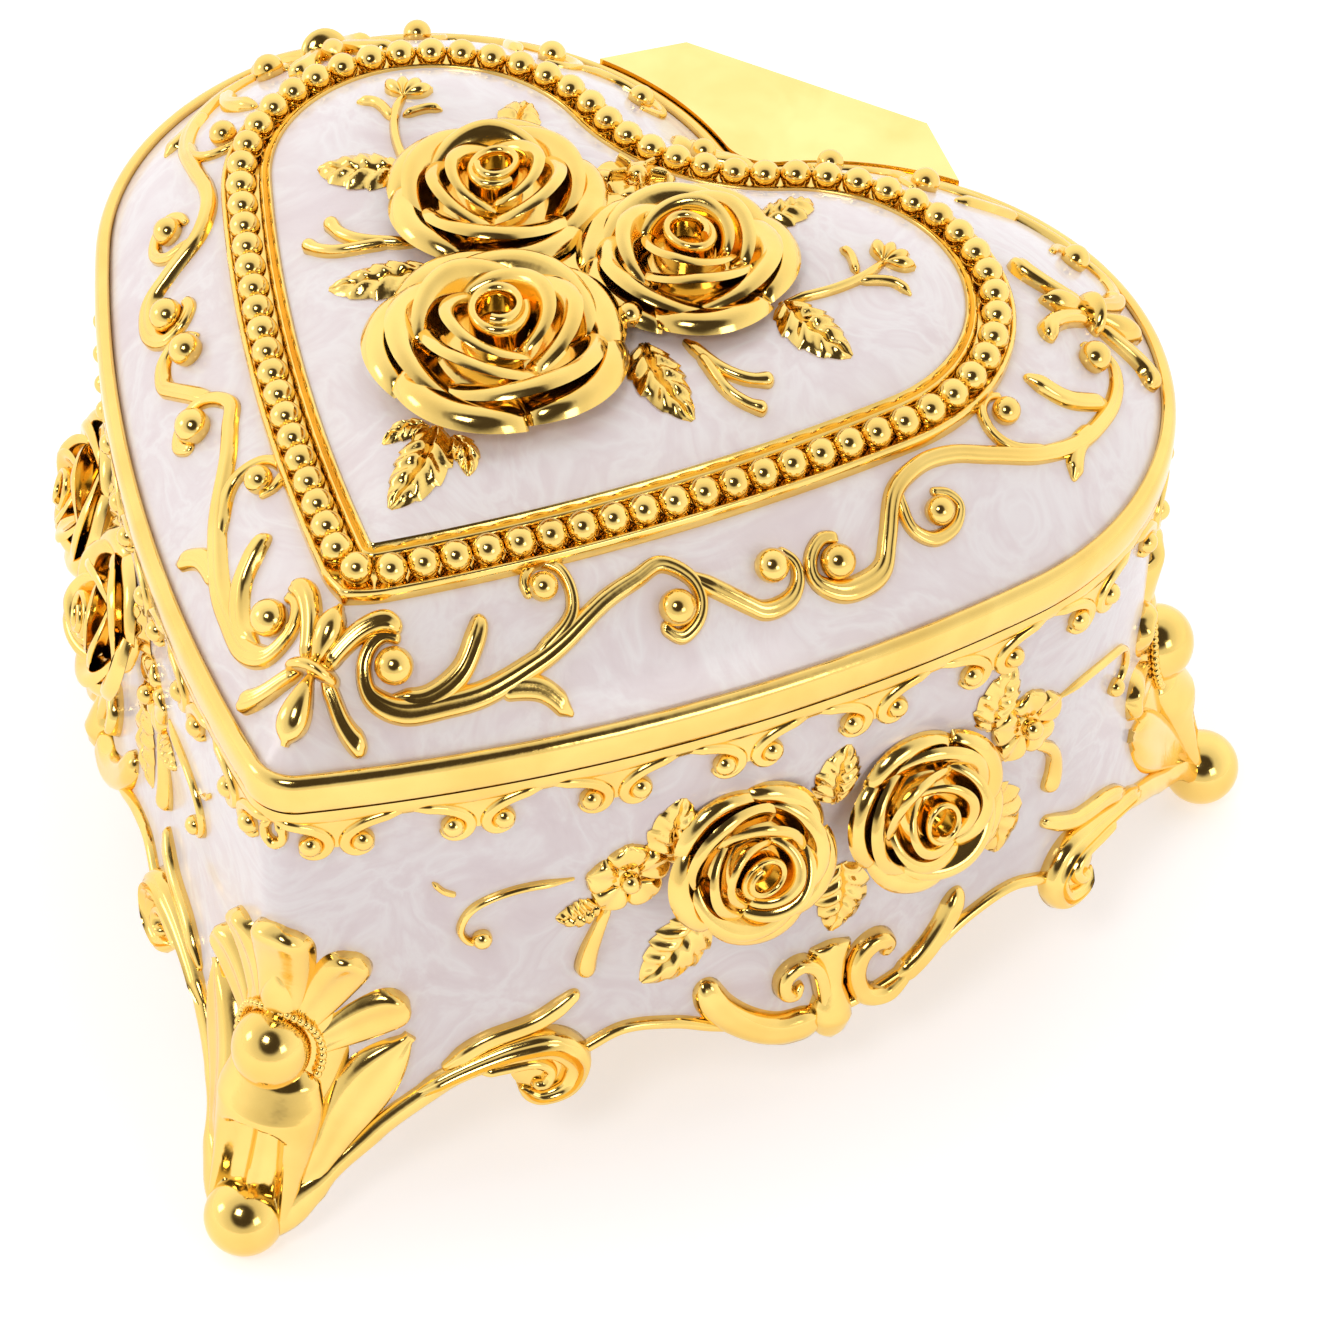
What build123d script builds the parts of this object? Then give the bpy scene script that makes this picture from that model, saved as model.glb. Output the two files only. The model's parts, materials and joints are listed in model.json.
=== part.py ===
"""Heart-shaped wind-up music box: cast body and lid, three legs, rear hinge and a comb-and-drum movement.

Millimetres, +Z up. The origin is on the ground under the middle of the box; the heart's tip points to -Y.
"""
import os
from math import atan2, cos, degrees, hypot, pi, radians, sin, sqrt

from build123d import *

os.makedirs("parts", exist_ok=True)

# Plan of the box, measured along Y from the tip of the lid
tip_radius = 5.0
side_radius = 170.0
lobe_radius = 33.0
lobe_offset = 22.0
lobe_from_tip = 71.0
cleft_radius = 5.0714
hinge_behind_lobes = 4.0
plate_overhang = 2.6

# Plan of the bead border on the lid
border_from_tip = 17.0
border_tip_radius = 3.0
border_side_radius = 200.0
border_lobe_radius = 18.3
border_lobe_offset = 19.5
border_lobe_from_tip = 67.3
border_cleft_radius = 19.6083
bead_count = 76
bead_radius = 1.3
bead_sink = 0.26

# Feet and legs
ball_radius = 3.9
ball_flat_depth = 0.3
leg_reach = 7.5
leg_top_z = 37.0
leg_half_width = 10.0
leg_leaf_thickness = 2.4
leaf_neck_half_width = 3.6
leaf_waist_half_width = 8.0
leaf_waist_below_top = 16.3
leaf_shoulder_below_top = 8.1
spine_half_width = 3.0
spine_below_top = 5.9
spine_belly_reach = 5.3
spine_belly_below_top = 14.1
spine_neck_reach = 5.6
spine_neck_below_top = 22.2
spine_arch_reach = 2.5
spine_arch_above_ball = 7.5
spine_root_depth = 4.2
spine_root_above_ball = 13.0
ankle_outside = 1.6
ankle_inside = 2.3
lobe_leg_angle = 27.5
leg_screw_z = 27.0

# Body
apron_z = 13.0
flare_top_z = 28.0
flare = 2.5
wall_inset = 1.0
wall = 2.2
body_top_z = 52.9
ledge_width = 3.8
ledge_height = 3.0
arch_radius = 16.0
arch_rise = 3.0
pendant_drop = 5.0
pendant_width = 18.0
pendant_thickness = 2.4

# Base and floor
base_z = 16.0
base_thickness = 2.0
base_screw_angles = (-20, 75)
floor_z = 39.0
floor_thickness = 1.5
floor_ledge_width = 2.3
floor_ledge_height = 2.0
lining_thickness = 1.0

# Lid
seam = 0.3
band_height = 3.8
band_thickness = 1.5
band_lip_radius = 0.7
slope_rise = 10.5
slope_bulge = 0.58
lid_wall = 2.5
lid_top_thickness = 1.6
border_outer = 2.7
border_inner = 2.4
ridge_width = 0.8
channel_depth = 1.4
outer_ridge_height = 1.2
inner_ridge_height = 2.0
panel_edge_rise = 2.6
panel_crown = 3.4
panel_crown_inset = 12.0
crown_shoulder_rise = 2.4
crown_shoulder_inset = 4.8
lid_lining_thickness = 1.5
lid_lining_recess = 1.0
lining_ledge = 1.0

# Roses
lid_rose_radius = 10.6
front_rose_radius = 12.4
lid_rose_spread = 10.1
lid_rose_from_tip = 63.0
front_rose_from_tip = 44.6
wall_rose_radius = 7.4
wall_rose_z = 34.5
wall_rose_stations = (47.4, 66.8)

# Form of a rose, as shares of its radius, with tilts in degrees
rose_heart_width = 0.62
rose_heart_height = 0.3
outer_petals = 5
outer_petal_reach = 0.5
outer_petal_size = 0.46
outer_petal_thickness = 0.16
outer_petal_height = 0.22
outer_petal_tilt = 22
inner_petals = 4
inner_petal_turn = 30
inner_petal_reach = 0.26
inner_petal_size = 0.36
inner_petal_thickness = 0.14
inner_petal_height = 0.42
inner_petal_tilt = 40
rose_bud_height = 0.4
rose_bud_size = 0.26

# Cast relief: scrolls and leaves on the lid and the wall, strip and swags under the lid
scroll_width = 1.5
scroll_rise = 1.2
scroll_ball_radius = 1.45
spray_stem_width = 1.1
relief_edge_gap = 0.3
wall_relief = 1.0
strip_height = 1.5
swag_first = 6.0
swag_pitch = 13.0
swag_count = 10
swag_top_half_width = 4.6
swag_half_width = 3.2
swag_drop = 5.0
flower_radius = 3.6
apron_scroll_radius = 3.2
apron_scroll_from_leg = 25.0
apron_scroll_z = 15.2

# Lines of the relief on the right half of the lid, as (across, distance from the tip)
scroll_lines = (
    ((5.2, 9.7), (10.9, 13.0), (16.1, 19.6), (19.4, 27.4), (22.2, 32.9), (26.3, 33.1), (26.0, 29.9)),
    ((16.1, 19.7), (17.5, 23.7), (15.0, 27.1), (12.9, 24.9)),
    ((25.0, 33.6), (31.5, 36.3), (32.8, 39.9), (30.1, 40.4)),
    ((33.4, 42.6), (36.2, 42.0), (38.5, 46.1), (36.8, 51.7), (39.5, 58.1), (45.5, 64.2)),
    ((45.5, 64.2), (48.6, 73.5), (46.3, 83.4), (43.4, 80.8)),
    ((36.9, 53.0), (39.3, 50.4), (42.3, 53.3), (40.6, 55.0)),
    ((47.7, 69.3), (42.4, 63.6), (39.8, 66.2)),
    ((41.6, 89.0), (41.4, 93.4), (36.4, 97.4), (34.4, 93.8)),
    ((37.0, 97.4), (27.5, 100.0), (18.8, 96.2), (20.4, 91.8)),
    ((18.6, 95.4), (12.6, 97.4), (9.0, 93.0)),
)
scroll_balls = (
    (6.0, 12.5),
    (24.6, 30.9),
    (14.3, 24.9),
    (30.0, 39.0),
    (34.8, 43.6),
    (40.6, 53.2),
    (44.9, 80.3),
    (41.4, 66.2),
    (36.3, 94.6),
    (20.6, 93.6),
    (10.6, 93.4),
)
knot_places = ((0.0, 8.9, 0.0), (42.4, 87.0, 30.0))
knot_length = 5.6
knot_leaf_half_width = 1.0
knot_spread = 48.0
lid_leaves_at = (
    ((19.8, 62.9), (28.2, 60.2), 2.5),
    ((11.0, 51.6), (19.0, 45.8), 2.4),
    ((12.4, 71.8), (15.0, 78.6), 2.2),
)
tip_leaf_at = ((0.0, 33.5), (0.0, 24.0), 2.4)
spray_lines = (
    ((14.0, 53.6), (18.1, 52.1), (21.0, 52.2), (23.4, 53.6)),
    ((20.0, 62.8), (23.2, 66.4), (25.0, 69.6), (25.6, 74.0)),
)
daisy_from_tip = 72.4

# Leaves and flowers of a flank, as (distance from the tip along the wall, height) and half width
wall_leaves_at = (
    ((38.6, 37.0), (36.6, 44.4), 2.1),
    ((41.4, 27.6), (34.6, 20.6), 2.5),
    ((56.2, 28.0), (54.2, 19.4), 2.3),
    ((55.2, 35.0), (56.2, 44.2), 2.0),
    ((72.2, 29.4), (73.6, 20.4), 2.5),
    ((31.4, 32.4), (25.8, 29.8), 1.7),
    ((72.8, 38.8), (74.4, 45.2), 1.9),
)
wall_flowers_at = ((32.8, 35.6), (76.8, 36.6))

# Rear hinge
hinge_rise = 0.5
knuckle_radius = 2.6
pin_radius = 1.0
knuckle_inner = 5.8
knuckle_outer = 12.0
plate_half_width = 13.6
plate_side_slope = 1.0
plate_thickness = 2.2
plate_rise = 3.7
housing_height = 12.0
lug_height = 2.4
lug_drop = 1.0
lug_sink = 0.5

# Movement: arbor of the spring at the left, drum to its right
arbor_x = -13.0
movement_from_tip = 62.0
bedplate_thickness = 2.5
bedplate_left = 13.5
bedplate_right = 39.5
bedplate_front = 22.5
bedplate_back = 20.0
bed_screw_inset = 3.0
arbor_below_base = 6.5
arbor_radius = 2.0
spring_housing_radius = 9.5
spring_housing_height = 11.5
spring_housing_wall = 0.8
mainspring_turns = 6
mainspring_thickness = 0.35
mainspring_points_per_turn = 12
drive_pins = 26
drive_pin_radius = 0.4
drive_pin_circle = 13.0
drive_pin_length = 2.0
drive_wheel_thickness = 1.5
drive_wheel_rim = 1.2
drive_wheel_windows = 5
drive_window_radius = 2.4
drum_pinion_teeth = 8
drum_pinion_thickness = 1.2
pinion_addendum = 0.6
pinion_dedendum = 1.4
pinion_root_share = 0.24
pinion_tip_share = 0.16
drum_radius = 6.0
drum_length = 14.3
drum_start = 15.0
drum_pin_height = 0.5
drum_pin_radius = 0.25
drum_pin_sink = 0.4
notes_per_track = 4
track_turn = 137.5
drum_arbor_radius = 1.0
comb_teeth = 18
comb_thickness = 1.0
comb_tooth_length = 6.2
comb_depth = 8.0
comb_tooth_share = 0.7
comb_tooth_sink = 0.5
comb_screw_length = 3.5
comb_screw_shares = (0.2, 0.8)
gear_module = 0.5
drum_gear_teeth = 24
governor_pinion_teeth = 8
worm_wheel_teeth = 20
gear_thickness = 1.2
gear_addendum = 0.4
gear_dedendum = 0.6
gear_root_share = 0.5
gear_tip_share = 0.2
worm_wheel_root_share = 0.4
wheel_gap = 1.0
post_gap = 0.75
governor_arbor_radius = 0.7
worm_core_radius = 0.95
worm_thread_radius = 1.75
worm_thread_thickness = 0.45
worm_pitch_radius = 1.5
worm_half_turns = 2
mesh_quarter = 0.25
worm_thread_sink = 0.2
worm_addendum = 0.3
worm_arm_thickness = 1.2
worm_arm_nose = 2.0
worm_frame_width = 6.0
fan_radius = 5.0
fan_height = 3.0
fan_thickness = 0.5
fan_hub_radius = 1.6
bearing_thickness = 1.4
bearing_half_width = 4.0
governor_half_width = 2.5
stop_rod_radius = 1.0
stop_finger_radius = 0.4
stop_finger_reach = 3.5
stop_guide_radius = 2.2

# Winding key
key_half_width = 11.0
key_height = 9.0
key_thickness = 1.8
key_hub_radius = 3.2
key_ground_gap = 4.0
key_hole_radius = 2.2
key_base_gap = 1.0

# Clearances
running_gap = 0.05
seat_gap = 0.05
lift_gap = 0.3
brake_gap = 0.5
pluck_gap = 0.4
base_edge_gap = 0.2

# Screws
screw_radius = 1.0
screw_head_radius = 1.9
screw_head_height = 1.0
screw_seat_depth = 0.4
leg_screw_grip = 1.2

# Levels and places worked out from the sizes above
ball_z = ball_radius - ball_flat_depth
leaf_waist_z = leg_top_z - leaf_waist_below_top
leaf_shoulder_z = leg_top_z - leaf_shoulder_below_top
spine_top_z = leg_top_z - spine_below_top
spine_belly_z = leg_top_z - spine_belly_below_top
spine_neck_z = leg_top_z - spine_neck_below_top
spine_arch_z = ball_z + spine_arch_above_ball
spine_root_z = ball_z + spine_root_above_ball
hinge_from_tip = lobe_from_tip + lobe_radius + hinge_behind_lobes
rim_tip_y = -(hinge_from_tip + plate_overhang - leg_reach - ball_radius) / 2
lobe_y = rim_tip_y + lobe_from_tip
hinge_y = rim_tip_y + hinge_from_tip
lid_z = body_top_z + seam
hinge_z = lid_z + hinge_rise
plate_top_z = lid_z + plate_rise
slope_z = lid_z + band_height - band_lip_radius
border_z = slope_z + slope_rise
channel_z = border_z + channel_depth
bead_z = channel_z + bead_radius - bead_sink
panel_z = border_z + panel_edge_rise
crown_z = panel_z + panel_crown
wall_inner = -(wall_inset + wall)


def unit(start, end):
    """Direction from one plan point to another, as a pair of length 1."""
    length = hypot(end[0] - start[0], end[1] - start[1])
    return (end[0] - start[0]) / length, (end[1] - start[1]) / length


def along(start, direction, distance):
    """Plan point at a distance from a start point."""
    return start[0] + direction[0] * distance, start[1] + direction[1] * distance


class Heart:
    """Heart outline of tangent arcs: tip, side, lobe and cleft, mirrored about the Y axis."""

    least_tip_radius = 1.0

    def __init__(self, tip_y, tip_r, side_r, lobe_x, lobe_y, lobe_r, cleft_r):
        self.tip_r = tip_r
        self.side_r = side_r
        self.lobe_r = lobe_r
        self.lobe = (lobe_x, lobe_y)
        tip_centre = (0.0, tip_y + tip_r)
        self.side = self.side_centre(tip_centre)
        self.cleft_r = cleft_r
        self.cleft = (0.0, lobe_y + sqrt((lobe_r + cleft_r) ** 2 - lobe_x**2))

    def side_centre(self, tip_centre):
        """Centre of the side arc, inside tangent to the tip arc and to the lobe arc."""
        to_tip = self.side_r - self.tip_r
        to_lobe = self.side_r - self.lobe_r
        apart = hypot(self.lobe[0], self.lobe[1] - tip_centre[1])
        axis = unit(tip_centre, self.lobe)
        reach = (to_tip**2 - to_lobe**2 + apart**2) / (2 * apart)
        height = sqrt(to_tip**2 - reach**2)
        foot = along(tip_centre, axis, reach)
        return along(foot, (-axis[1], axis[0]), height)

    def face(self, grow=0.0):
        """The outline as a sketch, grown outwards by a distance (inwards where negative)."""
        side_r = self.side_r + grow
        tip_r = max(self.tip_r + grow, self.least_tip_radius)
        tip = (0.0, self.side[1] - sqrt((side_r - tip_r) ** 2 - self.side[0] ** 2))
        tip_end = along(tip, unit(self.side, tip), tip_r)
        lobe_start = along(self.side, unit(self.side, self.lobe), side_r)
        lobe_end = along(self.lobe, unit(self.lobe, self.cleft), self.lobe_r + grow)
        side_mid = self.arc_middle(self.side, side_r, tip_end, lobe_start)
        lobe_mid = self.arc_middle(self.lobe, self.lobe_r + grow, lobe_start, lobe_end)
        cleft_bottom = (0.0, self.cleft[1] - self.cleft_r + grow)
        with BuildSketch() as outline:
            with BuildLine():
                ThreePointArc(self.left(tip_end), (0.0, tip[1] - tip_r), tip_end)
                ThreePointArc(tip_end, side_mid, lobe_start)
                ThreePointArc(lobe_start, lobe_mid, lobe_end)
                ThreePointArc(lobe_end, cleft_bottom, self.left(lobe_end))
                ThreePointArc(self.left(lobe_end), self.left(lobe_mid), self.left(lobe_start))
                ThreePointArc(self.left(lobe_start), self.left(side_mid), self.left(tip_end))
            make_face()
        return outline.sketch

    @staticmethod
    def left(point):
        """The mirror image of a point of the right half."""
        return -point[0], point[1]

    @staticmethod
    def arc_middle(centre, radius, start, end):
        """Middle of the shorter turn, taken anticlockwise, from start to end about a centre."""
        first = atan2(start[1] - centre[1], start[0] - centre[0])
        last = atan2(end[1] - centre[1], end[0] - centre[0])
        if last < first:
            last += 2 * pi
        middle = (first + last) / 2
        return centre[0] + radius * cos(middle), centre[1] + radius * sin(middle)

    def station(self, distance, grow=0.0):
        """Point of the right half at a distance from the tip along side and lobe, and its outward angle."""
        side_r = self.side_r + grow
        lobe_r = self.lobe_r + grow
        first = atan2(-sqrt(side_r**2 - self.side[0] ** 2), -self.side[0])
        last = atan2(self.lobe[1] - self.side[1], self.lobe[0] - self.side[0])
        angle = first + distance / side_r
        if angle <= last:
            return along(self.side, (cos(angle), sin(angle)), side_r), degrees(angle)
        angle = last + (distance - (last - first) * side_r) / lobe_r
        return along(self.lobe, (cos(angle), sin(angle)), lobe_r), degrees(angle)

    def lobe_station(self, angle, grow=0.0):
        """Distance from the tip of the place on the right lobe that faces an angle in degrees."""
        side_r = self.side_r + grow
        first = atan2(-sqrt(side_r**2 - self.side[0] ** 2), -self.side[0])
        last = atan2(self.lobe[1] - self.side[1], self.lobe[0] - self.side[0])
        return (last - first) * side_r + (radians(angle) - last) * (self.lobe_r + grow)


rim = Heart(
    rim_tip_y,
    tip_radius,
    side_radius,
    lobe_offset,
    lobe_y,
    lobe_radius,
    cleft_radius,
)
border = Heart(
    rim_tip_y + border_from_tip,
    border_tip_radius,
    border_side_radius,
    border_lobe_offset,
    rim_tip_y + border_lobe_from_tip,
    border_lobe_radius,
    border_cleft_radius,
)


def level(z):
    """Horizontal plane at a height."""
    return Plane.XY.offset(z)


def screw(length):
    """Pan-head screw: head on top of the XY plane, shank below it."""
    with BuildPart() as fastener:
        Cylinder(screw_head_radius, screw_head_height, align=(Align.CENTER, Align.CENTER, Align.MIN))
        Cylinder(screw_radius, length, align=(Align.CENTER, Align.CENTER, Align.MAX))
    return fastener.part


def rose(radius):
    """Open rose on the XY plane: a ring of outer petals, a ring of steeper inner petals and a bud."""
    with BuildPart() as bloom:
        heart_height = rose_heart_height * radius
        Cylinder(rose_heart_width * radius, heart_height, align=(Align.CENTER, Align.CENTER, Align.MIN))
        with PolarLocations(outer_petal_reach * radius, outer_petals):
            with Locations(Location((0, 0, outer_petal_height * radius), (0, -outer_petal_tilt, 0))):
                Cylinder(outer_petal_size * radius, outer_petal_thickness * radius)
        with PolarLocations(inner_petal_reach * radius, inner_petals, start_angle=inner_petal_turn):
            with Locations(Location((0, 0, inner_petal_height * radius), (0, -inner_petal_tilt, 0))):
                Cylinder(inner_petal_size * radius, inner_petal_thickness * radius)
        with Locations((0, 0, rose_bud_height * radius)):
            Sphere(rose_bud_size * radius)
        split(bisect_by=Plane.XY, keep=Keep.TOP)
    return bloom.part


def lens(base, tip, half_width):
    """Leaf outline: two arcs from its base to its tip."""
    ahead = unit(base, tip)
    middle = ((base[0] + tip[0]) / 2, (base[1] + tip[1]) / 2)
    with BuildSketch() as outline:
        with BuildLine():
            ThreePointArc(base, along(middle, (-ahead[1], ahead[0]), half_width), tip)
            ThreePointArc(tip, along(middle, (ahead[1], -ahead[0]), half_width), base)
        make_face()
    return outline.sketch


# Outer form of the body, without its hollow: upright wall above, flared apron below
with BuildPart() as body_block:
    with BuildSketch(level(flare_top_z)):
        add(rim.face(-wall_inset))
    extrude(amount=body_top_z - flare_top_z)
    with BuildSketch(level(apron_z)):
        add(rim.face(-wall_inset + flare))
    with BuildSketch(level(flare_top_z)):
        add(rim.face(-wall_inset))
    loft(ruled=True)

# Where the legs stand: on the wall at the tip and at the outside of each lobe
lobe_turn = radians(lobe_leg_angle)
lobe_reach = lobe_radius - wall_inset
lobe_leg_x = lobe_offset + lobe_reach * cos(lobe_turn)
lobe_leg_y = lobe_y + lobe_reach * sin(lobe_turn)
leg_places = {
    "tip_leg": Plane((0, rim_tip_y + wall_inset, 0), x_dir=(0, -1, 0)),
    "right_leg": Plane((lobe_leg_x, lobe_leg_y, 0), x_dir=(cos(lobe_turn), sin(lobe_turn), 0)),
    "left_leg": Plane((-lobe_leg_x, lobe_leg_y, 0), x_dir=(-cos(lobe_turn), sin(lobe_turn), 0)),
}


def outward_plane(place, distance, height):
    """Upright plane of a leg's place that faces out of the box, at a distance from the wall."""
    return Plane(place.from_local_coords((distance, 0, height)), x_dir=place.y_dir, z_dir=place.x_dir)


def inward_plane(place, distance, height):
    """The same plane facing into the box."""
    return Plane(place.from_local_coords((distance, 0, height)), x_dir=place.y_dir, z_dir=-place.x_dir)


def flank_plane(flank, reach, height):
    """Upright plane on the middle of a side wall (flank 1 right, -1 left), facing out of the box."""
    outward = (flank * cos(radians(side_angle)), sin(radians(side_angle)), 0)
    run = (-sin(radians(side_angle)), flank * cos(radians(side_angle)), 0)
    front = along((flank * side_middle[0], side_middle[1]), outward, reach)
    return Plane((front[0], front[1], height), x_dir=run, z_dir=outward)


side_middle, side_angle = rim.station(sum(wall_rose_stations) / len(wall_rose_stations), -wall_inset)
base_top_z = base_z + base_thickness
base_screw_reach = lobe_radius + wall_inner - ledge_width / 2
base_screw_places = []
for flank in (1, -1):
    for angle in base_screw_angles:
        base_screw_places.append(
            (
                flank * (lobe_offset + base_screw_reach * cos(radians(angle))),
                lobe_y + base_screw_reach * sin(radians(angle)),
            )
        )
screw_seat = wall + screw_seat_depth

# Body shell with a ledge for the base plate and a ledge for the false floor
with BuildPart() as body_shell:
    add(body_block.part)
    with BuildSketch(level(apron_z)):
        add(rim.face(wall_inner))
    extrude(amount=body_top_z - apron_z, mode=Mode.SUBTRACT)
    with BuildSketch(level(base_top_z)):
        add(rim.face(wall_inner))
        add(rim.face(wall_inner - ledge_width), mode=Mode.SUBTRACT)
    extrude(amount=ledge_height)
    with BuildSketch(level(floor_z - floor_ledge_height)):
        add(rim.face(wall_inner))
        add(rim.face(wall_inner - floor_ledge_width), mode=Mode.SUBTRACT)
    extrude(amount=floor_ledge_height)
    for flank in (1, -1):
        with BuildSketch(flank_plane(flank, 0, apron_z)):
            arch_drop = arch_rise - arch_radius
            with Locations((pendant_width, arch_drop), (-pendant_width, arch_drop)):
                Circle(arch_radius)
        extrude(amount=2 * (wall + flare), both=True, mode=Mode.SUBTRACT)
    with Locations([(x, y, base_top_z + ledge_height) for x, y in base_screw_places]):
        Hole(screw_radius + running_gap, depth=ledge_height)
    for place in leg_places.values():
        with BuildSketch(outward_plane(place, 0, leg_screw_z)):
            Circle(screw_radius + running_gap)
        extrude(amount=screw_seat * 2, both=True, mode=Mode.SUBTRACT)
        with BuildSketch(inward_plane(place, -screw_seat, leg_screw_z)):
            Circle(screw_head_radius + running_gap)
        extrude(amount=screw_seat * 2, mode=Mode.SUBTRACT)
body_shell.part.label = "body_shell"

# Shell pendants in the middle of each side of the apron
with BuildPart() as apron_pendants:
    for flank in (1, -1):
        with BuildSketch(flank_plane(flank, flare - pendant_thickness / 2, apron_z - seat_gap)):
            with BuildLine():
                Line((-pendant_width / 2, 0), (pendant_width / 2, 0))
                ThreePointArc((pendant_width / 2, 0), (0, -pendant_drop), (-pendant_width / 2, 0))
            make_face()
        extrude(amount=pendant_thickness)
apron_pendants.part.label = "apron_pendants"

# Seat that the legs and wall ornaments are cut to: the body's outer form with a small seat gap
with BuildPart() as seat_block:
    with BuildSketch(level(flare_top_z)):
        add(rim.face(-wall_inset + seat_gap))
    extrude(amount=body_top_z - flare_top_z)
    with BuildSketch(level(apron_z - seat_gap)):
        add(rim.face(-wall_inset + flare + seat_gap))
    with BuildSketch(level(flare_top_z)):
        add(rim.face(-wall_inset + seat_gap))
    loft(ruled=True)

# Layer of leaf thickness round the body, from which each leg's acanthus leaf is taken
with BuildPart() as leaf_layer:
    with BuildSketch(level(apron_z)):
        add(rim.face(-wall_inset + flare + leg_leaf_thickness))
    with BuildSketch(level(leg_top_z)):
        add(rim.face(-wall_inset + leg_leaf_thickness / 2))
    loft(ruled=True)
    add(seat_block.part, mode=Mode.SUBTRACT)


def leg(place):
    """Leg at a plan place: leaf fan wrapped on the wall, curved spine and ball foot with a ground flat.

    The place's X axis points out of the box, and its origin is on the wall.
    """
    wall_to_ball = leg_reach + wall_inset
    with BuildPart() as casting:
        with BuildSketch(Plane(place.origin, x_dir=place.y_dir, z_dir=place.x_dir)):
            with BuildLine():
                leaf_edge = Spline(
                    (leaf_neck_half_width, apron_z),
                    (leaf_waist_half_width, leaf_waist_z),
                    (leg_half_width, leaf_shoulder_z),
                    (0, leg_top_z),
                    (-leg_half_width, leaf_shoulder_z),
                    (-leaf_waist_half_width, leaf_waist_z),
                    (-leaf_neck_half_width, apron_z),
                )
                Line(leaf_edge @ 1, leaf_edge @ 0)
            make_face()
        extrude(amount=leg_reach, both=True)
        add(leaf_layer.part, mode=Mode.INTERSECT)
        with BuildSketch(Plane(place.origin, x_dir=place.x_dir, z_dir=-place.y_dir)):
            with BuildLine():
                outer = Spline(
                    (leg_leaf_thickness, spine_top_z),
                    (spine_belly_reach, spine_belly_z),
                    (spine_neck_reach, spine_neck_z),
                    (wall_to_ball + ankle_outside, ball_z),
                )
                inner = Spline(
                    (wall_to_ball - ankle_inside, ball_z),
                    (spine_arch_reach, spine_arch_z),
                    (-spine_root_depth, spine_root_z),
                )
                Line(outer @ 1, inner @ 0)
                Polyline(inner @ 1, (-spine_root_depth, spine_top_z), outer @ 0)
            make_face()
        extrude(amount=spine_half_width, both=True)
        with Locations(place.from_local_coords((wall_to_ball, 0, ball_z))):
            Sphere(ball_radius)
        add(seat_block.part, mode=Mode.SUBTRACT)
        split(bisect_by=Plane.XY, keep=Keep.TOP)
        with BuildSketch(outward_plane(place, 0, leg_screw_z)):
            Circle(screw_radius + running_gap)
        extrude(amount=leg_screw_grip + lift_gap, both=True, mode=Mode.SUBTRACT)
    return casting.part


legs = []
for leg_name, leg_place in leg_places.items():
    with BuildPart() as one_leg:
        add(leg(leg_place))
    one_leg.part.label = leg_name
    legs.append(one_leg)

# Screws that hold the legs from inside the wall
with BuildPart() as leg_screws:
    for place in leg_places.values():
        with Locations(inward_plane(place, -screw_seat, leg_screw_z)):
            add(screw(screw_seat + leg_screw_grip))
leg_screws.part.label = "leg_screws"

# Lid: outer form, hollow, band, border and panel
with BuildPart() as lid_block:
    with BuildSketch(level(lid_z)):
        add(rim.face(-band_thickness - seat_gap))
    extrude(amount=slope_z - lid_z)
    middle_grow = (-border_lobe_radius - border_outer + lobe_radius - band_thickness) / 2
    with BuildSketch(level(slope_z)):
        add(rim.face(-band_thickness - seat_gap))
    with BuildSketch(level(slope_z + slope_rise * slope_bulge)):
        add(border.face(border_outer + middle_grow))
    with BuildSketch(level(border_z)):
        add(border.face(border_outer))
    loft(ruled=True)
    with BuildSketch(level(border_z)):
        add(border.face(-border_inner - seat_gap))
    extrude(amount=panel_edge_rise)
    with BuildSketch(level(panel_z)):
        add(border.face(-border_inner - seat_gap))
    with BuildSketch(level(panel_z + crown_shoulder_rise)):
        add(border.face(-border_inner - crown_shoulder_inset))
    with BuildSketch(level(crown_z)):
        add(border.face(-border_inner - panel_crown_inset))
    loft(ruled=True)

lining_top_z = lid_z + lid_lining_recess + lid_lining_thickness
with BuildPart() as lid_shell:
    add(lid_block.part)
    with BuildSketch(level(lid_z)):
        add(rim.face(-band_thickness - lid_wall))
    extrude(amount=lining_top_z - lid_z, mode=Mode.SUBTRACT)
    with BuildSketch(level(lining_top_z)):
        add(rim.face(-band_thickness - lid_wall - lining_ledge))
    with BuildSketch(level(border_z - lid_top_thickness)):
        add(border.face(0))
    loft(ruled=True, mode=Mode.SUBTRACT)
lid_shell.part.label = "lid_shell"

with BuildPart() as lid_band:
    with BuildSketch(level(lid_z)):
        add(rim.face(0))
        add(rim.face(-band_thickness), mode=Mode.SUBTRACT)
    extrude(amount=band_height)
    lip = lid_band.faces().sort_by(Axis.Z)[-1].outer_wire().edges()
    fillet(lip, band_lip_radius)
lid_band.part.label = "lid_band"

bead_line = border.face(0).face().outer_wire()
with BuildPart() as bead_border:
    with BuildSketch(level(border_z)):
        add(border.face(border_outer))
        add(border.face(-border_inner), mode=Mode.SUBTRACT)
    extrude(amount=channel_depth)
    with BuildSketch(level(channel_z)):
        add(border.face(border_outer))
        add(border.face(border_outer - ridge_width), mode=Mode.SUBTRACT)
    extrude(amount=outer_ridge_height)
    with BuildSketch(level(channel_z)):
        add(border.face(-border_inner + ridge_width))
        add(border.face(-border_inner), mode=Mode.SUBTRACT)
    extrude(amount=inner_ridge_height)
    bead_places = [bead_line.position_at(k / bead_count) for k in range(bead_count)]
    with Locations([(p.X, p.Y, bead_z) for p in bead_places]):
        Sphere(bead_radius)
bead_border.part.label = "bead_border"

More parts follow.
